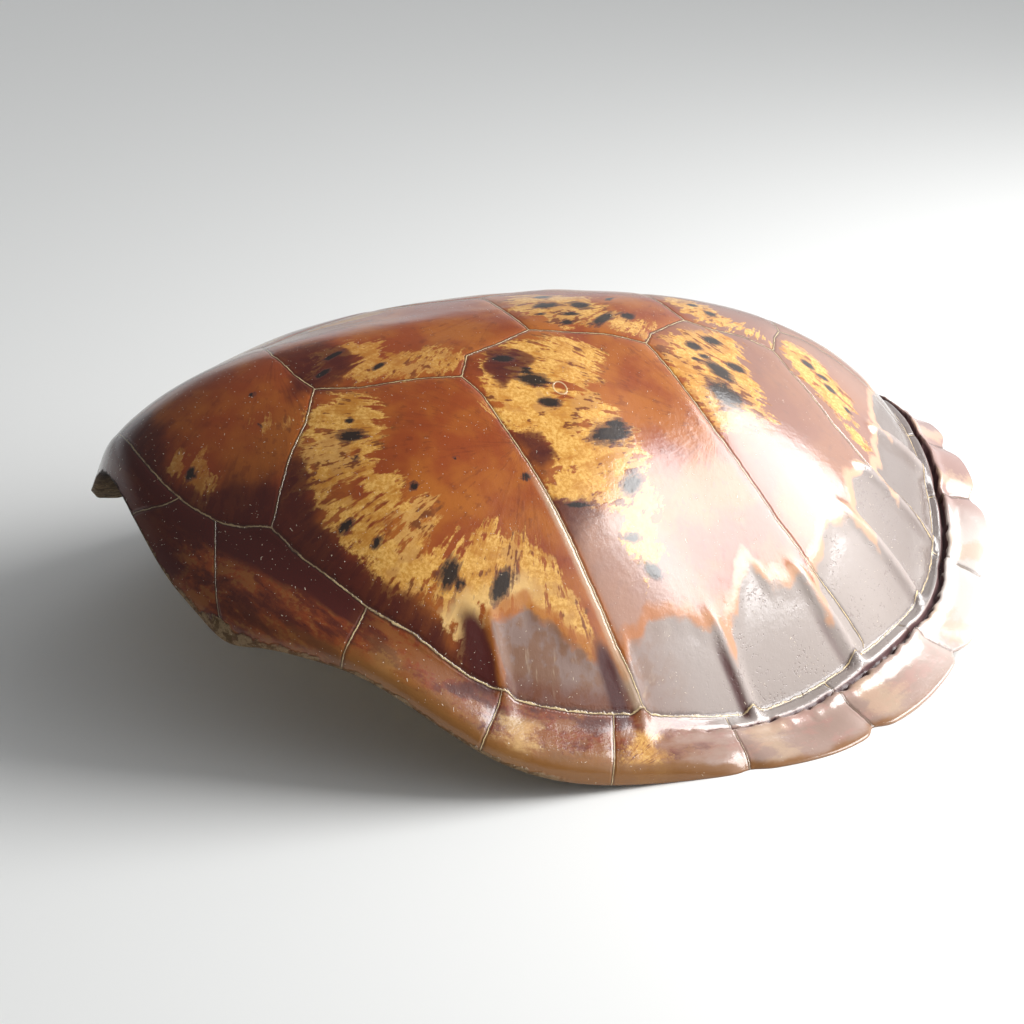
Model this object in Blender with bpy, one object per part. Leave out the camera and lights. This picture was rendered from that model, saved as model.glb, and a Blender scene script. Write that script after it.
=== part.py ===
"""Upper shell (carapace) of a green sea turtle, cleaned and dried, resting dome up.

The shell is one solid: a bony dome grown together with the horn plates over it. Its head end
points along -X, its tail along +X, and its left and right sides are mirror images. Distances
are in metres and the floor is z = 0.

The shell is described by its sections. Each section is the cut made by a vertical half-plane
through the crown line, and is named by its angle from the tail: 0 is the tail, 90 a side and
180 the neck. Going round a section, the surface runs from the crown down the dome to the
border, where the big plates end, then down the band of marginal plates to the edge, under the
edge to the lip, and back up the inside of the dome.
"""

import bmesh
import bpy
import numpy as np

COLLECTION_NAME = "sea_turtle_shell"
MM = 0.001

# Where the crown stands: the shell's length is centred on x = 0.
CROWN_X = -16.4 * MM

# The sections that drive the form, by their angle from the tail, in degrees.
SECTION_ANGLES = np.radians([0, 25, 50, 75, 100, 122, 140, 154, 167, 180])
# The edge of the shell: how far it lies from the crown line, and its height above the floor.
EDGE_RADIUS = np.array([324, 320, 293, 275, 254, 264, 271, 291, 293, 293]) * MM
EDGE_HEIGHT = np.array([82, 37.5, 6, 1, 2, 30, 80, 96, 120, 155]) * MM
# The border between the big plates of the dome and the band of marginal plates.
BORDER_RADIUS = np.array([287, 280, 250, 226, 226, 239, 248, 252, 271, 281]) * MM
BORDER_HEIGHT = np.array([105, 48, 27, 14, 36, 63, 112, 141, 155, 178]) * MM

# The crown line along the middle of the back: its height above the floor, and how it leans,
# sags and drops along x.
CROWN_HEIGHT = 221 * MM
CROWN_LEAN = -0.145
CROWN_RISE = 1.30
CROWN_DROP = -1.57
# How much of a section's fall from crown to border is round, and how much comes late.
ROUND_SHARE = 0.814
LATE_SHARE = 0.104

# The seams between marginal plates, by angle from the tail. The nuchal plate follows the last.
MARGINAL_SEAMS = (0, 8, 17, 29.5, 44.5, 66, 86.5, 106.5, 124, 141.5, 156, 173.5)
COLUMNS_PER_PLATE = 6
COLUMNS_IN_HALF_NUCHAL = 2

# The band: flared to a flange behind, rolled under in front.
FLARE_STARTS = np.radians(72)
FLARE_ENDS = np.radians(100)
FLANGE_TOP_SLOPE = np.radians(30)
FLANGE_EDGE_SLOPE = np.radians(22)
SIDE_EDGE_SLOPE = np.radians(92)
NECK_EDGE_SLOPE = np.radians(70)
NECK_STARTS = np.radians(140)
NECK_WIDTH = np.radians(30)
BAND_FULLNESS = 0.42

# The groove that parts the dome from the flange, and the raised inner edge of the flange.
GROOVE_PLACE = 0.22
GROOVE_WIDTH = 0.075
GROOVE_DEPTH = 6 * MM
RING_PLACE = 0.40
RING_WIDTH = 0.11
RING_HEIGHT = 3 * MM

# The flange's edge is scalloped: notched at each seam and full between the seams.
NOTCH_DEPTH = 5.5 * MM
NOTCH_WIDTH = 8 * MM
SCALLOP_FULLNESS = 2.5 * MM

# Rib ends: each rib crosses the sunken belt above the border as a raised bar.
RIB_ANGLES = np.radians([15, 26, 38.5, 57, 79, 100, 121.5])
RIB_LEAN = np.radians(30)
RIB_HALF_WIDTH = 6.5 * MM
RIB_HEIGHT = 3.0 * MM
BELT_DEPTH = 2.0 * MM
BELT_TOP = 0.85
BELT_SOFTNESS = 0.06
BELT_ENDS = np.radians(131)

# The wall: thin over the dome, thicker in the rim, with the spine and ribs standing in below.
DOME_WALL = 4.5 * MM
RIM_WALL = 8 * MM
FLANGE_WALL = 5 * MM
SPINE_HALF_WIDTH = 13 * MM
SPINE_DEPTH = 7 * MM

# The lip under the edge, in the rolled part: offsets inwards and upwards from the edge.
LIP_OFFSETS = ((-1.5, -1.5), (-5, -2.5), (-17, -2.5), (-25, 2), (-25, 9))
# The same rings on the flange: their place along the band and the wall's thickness there.
FLANGE_RINGS = ((1.0, 3.0), (0.94, 5.0), (0.80, 5.5), (0.62, 6.0), (0.46, 6.5))
# The torn corner on each side of the neck, where the lip hangs lower.
CORNER_ANGLE = np.radians(156)
CORNER_WIDTH = np.radians(4)
CORNER_DROP = 7 * MM

# The rings of the solid, from the crown outside to the crown inside.
DOME_RINGS = (0.12, 0.26, 0.40, 0.53, 0.65, 0.75, 0.82, 0.88, 0.93, 0.97, 1.0)
BAND_RINGS = (0.12, 0.22, 0.31, 0.40, 0.55, 0.72, 0.88, 1.0)
INNER_BAND_RINGS = (0.66, 0.30)
INNER_DOME_RINGS = (1.0, 0.93, 0.84, 0.72, 0.58, 0.42, 0.27, 0.14, 0.06)


def ease(x):
    """A step from 0 to 1 with level ends."""
    x = np.clip(x, 0, 1)
    return x * x * (3 - 2 * x)


def bump(distance, half_width):
    """A bell of height 1 that has fallen to 0.37 at half_width."""
    return np.exp(-(distance / half_width) ** 2)


def from_tail(angle):
    """The angle from the tail, 0 to pi on either side."""
    return np.abs((angle + np.pi) % (2 * np.pi) - np.pi)


def station_slopes(stations, values):
    """Slopes of the smoothest cubic through the stations, level at both ends."""
    gaps = np.diff(stations)
    count = len(stations)
    system = np.eye(count)
    target = np.zeros(count)
    for i in range(1, count - 1):
        before, after = gaps[i - 1], gaps[i]
        system[i, i - 1:i + 2] = 1 / before, 2 / before + 2 / after, 1 / after
        rise_before = (values[i] - values[i - 1]) / before ** 2
        rise_after = (values[i + 1] - values[i]) / after ** 2
        target[i] = 3 * (rise_before + rise_after)
    return np.linalg.solve(system, target)


def round_the_shell(values, angle):
    """One of the driving rows read at any angle, as a smooth curve through its stations."""
    turn = from_tail(angle)
    slopes = station_slopes(SECTION_ANGLES, values)
    i = np.clip(np.searchsorted(SECTION_ANGLES, turn, side="right") - 1, 0, len(values) - 2)
    gap = SECTION_ANGLES[i + 1] - SECTION_ANGLES[i]
    u = (turn - SECTION_ANGLES[i]) / gap
    start = values[i] * (1 + 2 * u) * (1 - u) ** 2 + gap * slopes[i] * u * (1 - u) ** 2
    end = values[i + 1] * u ** 2 * (3 - 2 * u) + gap * slopes[i + 1] * u ** 2 * (u - 1)
    return start + end


def flange_share(angle):
    """1 where the band is a flared flange, 0 where it is rolled under."""
    return 1 - ease((from_tail(angle) - FLARE_STARTS) / (FLARE_ENDS - FLARE_STARTS))


def dome_section(place, angle):
    """Radius and height on the smooth dome, with place 0 at the crown and 1 at the border.

    The fall from the crown line to the border is a sum of second, fourth and eighth powers of
    place, so the dome is round on top and steepens towards the border.
    """
    border_radius = round_the_shell(BORDER_RADIUS, angle)
    border_height = round_the_shell(BORDER_HEIGHT, angle)
    even_share = 1 - ROUND_SHARE - LATE_SHARE
    fall = ROUND_SHARE * place ** 2 + even_share * place ** 4 + LATE_SHARE * place ** 8
    radius = border_radius * place
    x = radius * np.cos(angle)
    crown = CROWN_HEIGHT * (1 + CROWN_LEAN * x + CROWN_RISE * x ** 2 + CROWN_DROP * x ** 3)
    return radius, border_height * fall + crown * (1 - fall)


def edge_section(angle):
    """Radius and height of the edge, scalloped where the band is a flange."""
    seams = np.radians(MARGINAL_SEAMS)
    turn = from_tail(angle)
    radius = round_the_shell(EDGE_RADIUS, angle)
    nearest = np.abs(turn[..., None] - seams).min(axis=-1) * radius
    after = np.clip(np.searchsorted(seams, turn, side="right"), 1, len(seams) - 1)
    within = np.clip((turn - seams[after - 1]) / (seams[after] - seams[after - 1]), 0, 1)
    scallop = SCALLOP_FULLNESS * np.sin(np.pi * within) - NOTCH_DEPTH * bump(nearest, NOTCH_WIDTH)
    return radius + flange_share(angle) * scallop, round_the_shell(EDGE_HEIGHT, angle)


def band_section(place, angle):
    """Radius and height on the smooth band, with place 0 at the border and 1 at the edge.

    The section is a cubic Bezier curve. It leaves the border along the dome and turns down at
    the edge where the band is rolled, and is nearly flat where the band is a flange.
    """
    border_radius, border_height = dome_section(np.ones_like(angle), angle)
    edge_radius, edge_height = edge_section(angle)
    step = 1e-3
    above = dome_section(np.full_like(angle, 1 - step), angle)[1]
    dome_slope = np.arctan2(above - border_height, border_radius * step)
    flange = flange_share(angle)
    neck = ease((from_tail(angle) - NECK_STARTS) / NECK_WIDTH)
    top_slope = dome_slope * (1 - flange) + FLANGE_TOP_SLOPE * flange
    rolled_slope = SIDE_EDGE_SLOPE * (1 - neck) + NECK_EDGE_SLOPE * neck
    edge_slope = rolled_slope * (1 - flange) + FLANGE_EDGE_SLOPE * flange
    reach = BAND_FULLNESS * np.hypot(edge_radius - border_radius, edge_height - border_height)
    weights = ((1 - place) ** 3, 3 * (1 - place) ** 2 * place, 3 * (1 - place) * place ** 2, place ** 3)
    radii = (border_radius, border_radius + reach * np.cos(top_slope),
             edge_radius - reach * np.cos(edge_slope), edge_radius)
    heights = (border_height, border_height - reach * np.sin(top_slope),
               edge_height + reach * np.sin(edge_slope), edge_height)
    radius = sum(weight * value for weight, value in zip(weights, radii))
    height = sum(weight * value for weight, value in zip(weights, heights))
    return radius, height


def groove_relief(place, angle):
    """Height added to the band by the groove and by the flange's raised inner edge."""
    groove = GROOVE_DEPTH * bump(place - GROOVE_PLACE, GROOVE_WIDTH)
    ring = RING_HEIGHT * bump(place - RING_PLACE, RING_WIDTH)
    return flange_share(angle) * (ring - groove)


def rib_relief(place, angle):
    """Height added to the dome by the sunken belt and by the rib ends that cross it."""
    turn = from_tail(angle)
    belt = ease((place - BELT_TOP) / BELT_SOFTNESS) * ease((BELT_ENDS - turn) / RIB_LEAN)
    radius = round_the_shell(BORDER_RADIUS, angle) * place
    rib_angles = RIB_ANGLES + RIB_LEAN * (1 - place)
    nearest = np.abs(turn[..., None] - rib_angles).min(axis=-1) * radius
    return belt * ((RIB_HEIGHT + BELT_DEPTH) * bump(nearest, RIB_HALF_WIDTH) - BELT_DEPTH)


def ring_points(radius, height, angle):
    """Points in space of one ring, given its radius and height at each angle."""
    x = CROWN_X + radius * np.cos(angle)
    return np.stack([x, radius * np.sin(angle), height], axis=-1)


def set_in(section, place, angle, wall):
    """Radius and height on the inside of a section, one wall's thickness below its surface."""
    step = 1e-3
    radius, height = section(np.full_like(angle, place), angle)
    near_radius, near_height = section(np.full_like(angle, place - step), angle)
    along_radius = radius - near_radius
    along_height = height - near_height
    length = np.hypot(along_radius, along_height)
    return radius + wall * along_height / length, height - wall * along_radius / length


def outer_rings(angle):
    """The rings of the outside, from beside the crown down to the edge."""
    rings = []
    for place in DOME_RINGS:
        radius, height = dome_section(np.full_like(angle, place), angle)
        rings.append(ring_points(radius, height + rib_relief(place, angle), angle))
    for place in BAND_RINGS:
        radius, height = band_section(np.full_like(angle, place), angle)
        fade = 1 - flange_share(angle)
        belt = rib_relief(1.0, angle) * fade * (1 - place) ** 2
        rings.append(ring_points(radius, height + belt + groove_relief(place, angle), angle))
    return rings


def lip_rings(angle):
    """The rings under the edge: a rolled lip in front, the flange's underside behind."""
    edge_radius, edge_height = edge_section(angle)
    flange = flange_share(angle)
    hang = CORNER_DROP * bump(from_tail(angle) - CORNER_ANGLE, CORNER_WIDTH)
    rings = []
    for (inwards, upwards), (place, wall) in zip(LIP_OFFSETS, FLANGE_RINGS):
        under_radius, under_height = set_in(band_section, place, angle, wall * MM)
        radius = (edge_radius + inwards * MM) * (1 - flange) + under_radius * flange
        height = (edge_height + upwards * MM - hang) * (1 - flange) + under_height * flange
        rings.append(ring_points(radius, height, angle))
    return rings


def inner_rings(angle):
    """The rings of the hollow inside, from above the lip up to beside the crown."""
    flange = flange_share(angle)
    wall = RIM_WALL * (1 - flange) + (FLANGE_WALL + GROOVE_DEPTH) * flange
    rings = []
    for place in INNER_BAND_RINGS:
        rings.append(ring_points(*set_in(band_section, place, angle, wall), angle))
    for place in INNER_DOME_RINGS:
        rim = ease((place - 0.8) / 0.2)
        ring = ring_points(*set_in(dome_section, place, angle, DOME_WALL + (wall - DOME_WALL) * rim), angle)
        ring[..., 2] -= spine_depth(ring[..., 1], place)
        rings.append(ring)
    return rings


def spine_depth(y, place):
    """How far the backbone stands into the hollow, fading out towards the rim."""
    return SPINE_DEPTH * bump(y, SPINE_HALF_WIDTH) * (1 - ease((place - 0.75) / 0.2))


def column_angles():
    """The angles of the sections that carry points: evenly spread within each marginal plate."""
    half = []
    for start, end in zip(MARGINAL_SEAMS, MARGINAL_SEAMS[1:]):
        half.extend(np.linspace(start, end, COLUMNS_PER_PLATE, endpoint=False))
    half.extend(np.linspace(MARGINAL_SEAMS[-1], 180, COLUMNS_IN_HALF_NUCHAL, endpoint=False))
    one_side = np.radians(half)
    other_side = 2 * np.pi - one_side[::-1]
    return np.concatenate([one_side, [np.pi], other_side[:-1]])


def shell_points():
    """Crown point, all rings as an array of rings by columns by 3, and inner crown point."""
    angle = column_angles()
    rings = np.stack(outer_rings(angle) + lip_rings(angle) + inner_rings(angle))
    # The rim is worn flat where it rests.
    rings[..., 2] = np.maximum(rings[..., 2], 0)
    crown = np.array([CROWN_X, 0, CROWN_HEIGHT])
    inner_crown = crown - [0, 0, DOME_WALL + SPINE_DEPTH]
    return crown, rings, inner_crown


def sphere_to_shell(sphere, crown, rings, inner_crown):
    """Move a unit sphere's points to the shell: each parallel to a ring, each pole to a crown."""
    ring_count, column_count = rings.shape[:2]
    points = np.empty(len(sphere.vertices) * 3)
    sphere.vertices.foreach_get("co", points)
    points = points.reshape(-1, 3)
    parallel = np.rint(np.arccos(np.clip(points[:, 2], -1, 1)) / np.pi * (ring_count + 1)).astype(int)
    meridian = np.arctan2(points[:, 1], points[:, 0]) / (2 * np.pi) * column_count
    column = np.rint(meridian).astype(int) % column_count
    placed = rings[np.clip(parallel - 1, 0, ring_count - 1), column]
    placed[parallel == 0] = crown
    placed[parallel == ring_count + 1] = inner_crown
    sphere.vertices.foreach_set("co", placed.ravel())
    sphere.update()


def horn_material():
    """Varnished horn: red-brown and glossy."""
    material = bpy.data.materials.new("varnished_horn")
    material.use_nodes = True
    shader = material.node_tree.nodes["Principled BSDF"]
    shader.inputs["Base Color"].default_value = (0.23, 0.07, 0.02, 1)
    shader.inputs["Roughness"].default_value = 0.25
    shader.inputs["Metallic"].default_value = 0
    return material


def build_carapace(collection):
    """The whole shell, as a sphere drawn out into a dome with an inside."""
    crown, rings, inner_crown = shell_points()
    ring_count, column_count = rings.shape[:2]
    mesh = bpy.data.meshes.new("carapace")
    ball = bmesh.new()
    bmesh.ops.create_uvsphere(ball, u_segments=column_count, v_segments=ring_count + 1, radius=1)
    ball.to_mesh(mesh)
    ball.free()
    sphere_to_shell(mesh, crown, rings, inner_crown)
    mesh.shade_smooth()
    mesh.materials.append(horn_material())
    carapace = bpy.data.objects.new("carapace", mesh)
    collection.objects.link(carapace)
    return carapace


def main():
    for item in list(bpy.data.objects):
        bpy.data.objects.remove(item)
    collection = bpy.data.collections.new(COLLECTION_NAME)
    bpy.context.scene.collection.children.link(collection)
    build_carapace(collection)


main()
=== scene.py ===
"""Looks of the varnished sea turtle shell: its surface, its horn and bone, and the stage.

The shell's surface is worked out again here, finer than the solid it stands for, with the
seams between its horn plates and the marks on them stored as fields on its points. Its head
end points along -X, its tail along +X, and the floor is z = 0. Sizes are in metres. Seams and
marks on the plates are outlines of (along, across) in millimetres: from the crown towards the
tail, and away from the crown line. A place is a share of the way: on the dome from the crown
to the border of the marginal plates, and on the band from there to the edge.
"""

import math
from functools import partial
from types import SimpleNamespace

import bpy
import numpy as np
from mathutils import Matrix, Vector


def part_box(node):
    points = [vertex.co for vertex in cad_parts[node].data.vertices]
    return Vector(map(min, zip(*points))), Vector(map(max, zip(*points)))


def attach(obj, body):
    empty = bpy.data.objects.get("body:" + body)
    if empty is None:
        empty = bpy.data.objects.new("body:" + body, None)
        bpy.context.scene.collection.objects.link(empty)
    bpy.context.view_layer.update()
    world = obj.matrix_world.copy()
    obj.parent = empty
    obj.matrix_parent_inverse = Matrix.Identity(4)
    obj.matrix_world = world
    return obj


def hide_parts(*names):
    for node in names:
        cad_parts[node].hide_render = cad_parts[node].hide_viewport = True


bl_info = {
    "name": "Sea turtle shell",
    "version": (1, 0, 0),
    "blender": (4, 5, 0),
    "location": "View3D > Sidebar > Turtle shell",
    "description": "Builds a varnished sea turtle shell and its studio stage",
    "category": "Object",
}

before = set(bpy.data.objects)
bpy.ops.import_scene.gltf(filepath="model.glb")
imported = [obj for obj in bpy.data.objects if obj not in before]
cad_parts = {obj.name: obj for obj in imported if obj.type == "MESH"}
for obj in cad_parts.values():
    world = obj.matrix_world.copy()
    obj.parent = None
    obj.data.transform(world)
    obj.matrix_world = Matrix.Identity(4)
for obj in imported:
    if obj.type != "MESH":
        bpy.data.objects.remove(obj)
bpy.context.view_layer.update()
SHELL_LOW, SHELL_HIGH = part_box("carapace")

MM = 0.001

# ---------------------------------------------------------------- form of the shell

# Where the crown stands along x, and the sections that drive the form, by angle from the tail.
CROWN_X = -16.4 * MM
SECTION_ANGLES = np.radians([0, 25, 50, 75, 100, 122, 140, 154, 167, 180])
EDGE_RADIUS = np.array([324, 320, 293, 275, 254, 264, 271, 291, 293, 293]) * MM
EDGE_HEIGHT = np.array([82, 37.5, 6, 1, 2, 30, 80, 96, 120, 155]) * MM
BORDER_RADIUS = np.array([287, 280, 250, 226, 226, 239, 248, 252, 271, 281]) * MM
BORDER_HEIGHT = np.array([105, 48, 27, 14, 36, 63, 112, 141, 155, 178]) * MM

# The crown line's height along x is a cubic, and the fall from it a sum of powers of place.
CROWN_HEIGHT = 221 * MM
CROWN_LEAN = -0.145
CROWN_RISE = 1.30
CROWN_DROP = -1.57
ROUND_SHARE = 0.814
LATE_SHARE = 0.104

# Marginal seams, by angle from the tail: where each leaves the border and meets the edge.
SEAM_AT_BORDER = np.radians([0, 8.8, 18.4, 27.4, 45.6, 64.0, 84.6, 104.8, 121.6, 140.5, 163, 168.4])
SEAM_AT_EDGE = np.radians([0, 8, 17, 29.5, 44.5, 66, 86.5, 106.5, 124, 141.5, 156, 173.5])

FLARE_STARTS = np.radians(72)
FLARE_ENDS = np.radians(100)
FLANGE_TOP_SLOPE = np.radians(30)
FLANGE_EDGE_SLOPE = np.radians(22)
SIDE_EDGE_SLOPE = np.radians(92)
NECK_EDGE_SLOPE = np.radians(70)
NECK_STARTS = np.radians(140)
NECK_ENDS = np.radians(170)
BAND_FULLNESS = 0.42
# How much longer the band is along its curve than straight across.
BAND_CURVE_GAIN = 1.05

# The groove inside the flange: its walls, by place on the band, and the swell beyond it.
GROOVE_INNER = 0.165
GROOVE_OUTER = 0.255
RING_REACH = 0.08
RING_WIDTH = 0.10
RING_RAGGEDNESS = 0.25
# Half the width of its two walls, and how far they wander, by place on the band.
INNER_WALL, OUTER_WALL = 0.035, 0.0175
GROOVE_WANDER, WALL_RAGGEDNESS = 0.022, 0.024
# The groove's share of its full width where the flange starts.
NARROW_GROOVE = 0.35

NOTCH_DEPTH = 5.5 * MM
NOTCH_WIDTH = 8 * MM
SCALLOP_FULLNESS = 2.5 * MM

RIB_ANGLES = np.radians([15, 26, 38.5, 57, 79, 100, 121.5])
RIB_LEAN = np.radians(30)
# Ribs by the tail are higher, by this factor up to the first angle, easing off to the second.
TAIL_RIB_GAIN = 1.7
TAIL_RIBS_END = np.radians([50, 90])
# Where the belt sinks and the ribs rise, in millimetres into the belt, and where the flanks
# of the ribs darken, by place on the dome.
BELT_SINKS = (0, 6)
RIBS_RISE = (-8, 4)
FLANKS_DARKEN = (0.89, 0.95)
# The flank in front of each rib, partly painted shade and partly the horn's own darker
# colour: angle from the tail, strength, and how far off it lies and how wide it is in
# millimetres.
RIB_FLANKS = ((15, 0.2, 5, 4), (38, 0.22, 5, 4), (57, 0.40, 8, 4), (79, 0.70, 6, 4),
              (100, 0.95, 14, 6), (121.5, 0.95, 11, 9))

# How far the seam at the border strays inwards from the smooth border, by angle from the tail.
BORDER_KINKS = ((125.5, 0), (131, 1.6), (134, 2.4), (137, 1.3), (140, 0.3), (150, 0), (152, 1.2),
                (156.1, 5.2), (158.1, 3.0), (159.7, 1.2), (162, 0))

DOME_WALL = 4.5 * MM
RIM_WALL = 8 * MM
FLANGE_WALL = 5 * MM
SPINE_HALF_WIDTH = 13 * MM
SPINE_DEPTH = 7 * MM
# Between which places the dome's wall thickens towards the rim, and the spine's ridge fades.
WALL_THICKENS = (0.8, 1.0)
SPINE_FADES = (0.75, 0.95)
# The lip, as steps inwards and upwards from the edge in millimetres, and what takes their
# place under the flange: places on the band, with depths below it in millimetres.
LIP_OFFSETS = ((-1.5, -1.5), (-5, -2.5), (-17, -2.5), (-25, 2), (-25, 9))
FLANGE_RINGS = ((1.0, 3.0), (0.94, 5.0), (0.80, 5.5), (0.62, 6.0), (0.46, 6.5))
INNER_BAND_PLACES = (0.66, 0.30)
CORNER_ANGLE = np.radians(156)
CORNER_WIDTH = np.radians(4)
CORNER_DROP = 7 * MM

# Seams lie in shallow folds. The fold's half width is in millimetres, as fields are.
FOLD_DEPTH = 0.5 * MM
FOLD_HALF_WIDTH = 3.5
# Millimetres that leave out the seams of the other row of plates, for folds and for colours.
OTHER_ROW_FOLD = 50
OTHER_ROW = 90.0
# Where the row along the back and the row of the sides start and end, along x.
BACK_ROW_ENDS = (-290, 292)
SIDE_ROW_ENDS = (-240, 286)
# Radius in millimetres at which angles between rim seams are turned into distances.
RIM_RADIUS = 270
# Height of the slow swells, for sines that add up to 1.6.
SWELL_HEIGHT = 0.16 * MM

# ---------------------------------------------------------------- seams of the horn plates

# The line between the row along the back and the plates of the sides, from neck to tail.
BACK_ROW_LINE = (
    (-300, 176), (-228, 103), (-204, 77), (-186, 61), (-172, 41), (-146, 53), (-109, 61),
    (-84, 68), (-72, 51), (-45, 44), (-20, 35), (0, 41), (29, 48), (54, 59), (64, 48), (80, 40),
    (100, 30), (116, 37), (140, 40), (161, 48), (172, 32), (184, 20), (205, 17), (240, 28),
    (290, 50),
)
# Seams across the back row, from the crown line outwards.
BACK_SEAMS = (
    ((-181, -60), (-183, 0), (-179, 25), (-172, 41), (-150, 90)),
    ((-20, -60), (-22, 0), (-21, 20), (-20, 35), (-20, 90)),
    ((96, -60), (95, 0), (97, 18), (100, 30), (106, 90)),
    ((190, -60), (191, 0), (184, 20), (178, 90)),
)
# Seams between the plates of the sides, from the back row down to the border.
SIDE_SEAMS = (
    ((-92, 30), (-84, 68), (-78, 84), (-75, 104), (-66, 138), (-56, 180), (-48, 204), (-37, 226)),
    ((50, 30), (54, 59), (57, 73), (62, 95), (70, 120), (81, 142), (94, 162), (110, 177),
     (142, 196)),
    ((155, 20), (161, 48), (165, 64), (173, 80), (180, 96), (196, 110), (214, 119), (252, 125)),
)

# ---------------------------------------------------------------- marks on the plates

# Ochre patches, each an outline on one plate.
OCHRE_PATCHES = (
    ((-196, 72), (-184, 57), (-165, 54), (-149, 57), (-141, 70), (-150, 88), (-160, 106),
     (-149, 118), (-156, 128), (-133, 133), (-135, 142), (-150, 145), (-136, 154), (-128, 151),
     (-103, 151), (-97, 160), (-84, 164), (-75, 176), (-66, 188), (-60, 203), (-75, 204),
     (-86, 195), (-97, 189), (-110, 184), (-130, 184), (-146, 186), (-152, 174), (-170, 165),
     (-183, 150), (-190, 138), (-198, 120), (-203, 106), (-201, 96)),
    ((-170, 28), (-160, 10), (-132, 8), (-118, 20), (-122, 32), (-104, 30), (-82, 38), (-76, 47),
     (-86, 62), (-120, 56), (-146, 47)),
    ((-260, 68), (-262, 52), (-272, 38), (-262, 34), (-258, 44), (-246, 46), (-247, 60)),
    ((-213, 47), (-203, 50), (-194, 58), (-199, 59), (-212, 54)),
    ((-214, 96), (-200, 92), (-196, 99), (-206, 102)),
    ((-70, 112), (-78, 90), (-72, 64), (-60, 50), (-12, 44), (12, 51), (20, 66), (8, 80),
     (-4, 92), (6, 104), (14, 130), (10, 158), (0, 184), (-18, 186), (-24, 160), (-46, 153),
     (-64, 150), (-52, 124), (-60, 113)),
    ((-16, 0), (-14, 14), (-4, 26), (2, 38), (30, 38), (44, 50), (58, 52), (73, 36), (56, 30),
     (47, 18), (46, 0), (40, -14), (14, -30), (-8, -18)),
    ((60, 96), (60, 62), (76, 48), (110, 38), (137, 46), (124, 64), (127, 84), (120, 110),
     (98, 122), (74, 118)),
    ((102, 0), (106, 20), (112, 34), (150, 36), (166, 44), (160, 30), (140, 22), (132, 4),
     (118, -12)),
    ((164, 42), (184, 29), (202, 36), (206, 50), (217, 66), (208, 84), (206, 104), (194, 98),
     (182, 80), (168, 62)),
    ((206, 4), (236, 12), (262, 26), (274, 20), (270, -4), (240, -12)),
)
# Brown islands inside the ochre.
BROWN_ISLANDS = (
    ((-196, 106), (-184, 104), (-180, 110), (-168, 108), (-172, 115), (-164, 122), (-182, 121),
     (-184, 114), (-194, 112)),
    ((-176, 134), (-158, 136), (-160, 140), (-175, 138)),
    ((-150, 150), (-142, 152), (-150, 157), (-158, 154)),
    ((-172, 92), (-160, 90), (-162, 94), (-170, 96)),
    ((-40, 92), (-10, 84), (-12, 94), (-28, 98)),
    ((-68, 66), (-58, 52), (-40, 53), (-36, 60), (-50, 66), (-60, 80)),
    ((-34, 86), (-20, 82), (-14, 90), (-26, 96)),
    ((-166, 34), (-158, 18), (-146, 16), (-138, 30), (-150, 40)),
)
# Places where the horn darkens to maroon.
DARK_ZONES = (
    ((-240, 112), (-212, 88), (-200, 96), (-203, 118), (-194, 136), (-178, 156), (-156, 172),
     (-150, 184), (-134, 186), (-120, 191), (-114, 216), (-180, 200), (-220, 160)),
    ((-211, 90), (-204, 79), (-196, 84), (-198, 92), (-206, 95)),
    ((-300, -40), (-272, -30), (-264, 20), (-270, 42), (-256, 62), (-236, 70), (-222, 82),
     (-214, 96), (-240, 130), (-300, 80)),
    ((-184, 40), (-178, 5), (-152, 2), (-138, 20), (-144, 36), (-162, 44)),
    ((-70, 66), (-56, 50), (-36, 52), (-30, 64), (-48, 76), (-62, 82)),
    ((-70, 112), (-52, 114), (-48, 128), (-62, 132)),
    ((-64, 148), (-42, 150), (-38, 158), (-58, 162)),
)
# The sunken belt over the open gaps between ribs, as an outline that runs out beyond the
# border: arches between ribs, and cusps down their front sides.
BELT_OUTLINE = (
    (266, -40), (266, 0), (262, 20), (254, 35), (246, 48), (238, 60), (231, 70), (240, 81),
    (225, 79), (219, 92), (215, 104), (205, 111), (216, 121), (196, 114), (186, 120), (176, 127),
    (169, 131), (168, 140), (164, 146), (176, 159), (158, 150), (150, 152), (142, 157),
    (135, 158), (128, 162), (120, 170), (112, 178), (117, 195), (103, 181), (95, 181), (85, 183),
    (75, 182), (69, 178), (63, 177), (55, 181), (45, 189), (38, 196), (37, 212), (29, 199),
    (15, 197), (0, 195), (-15, 197), (-30, 200), (-41, 203), (-45, 213), (-56, 204), (-68, 203),
    (-75, 199), (-80, 195), (-85, 190), (-95, 186), (-100, 182), (-112, 182), (-124, 183),
    (-124, 260), (340, 260), (340, -40),
)
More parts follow.
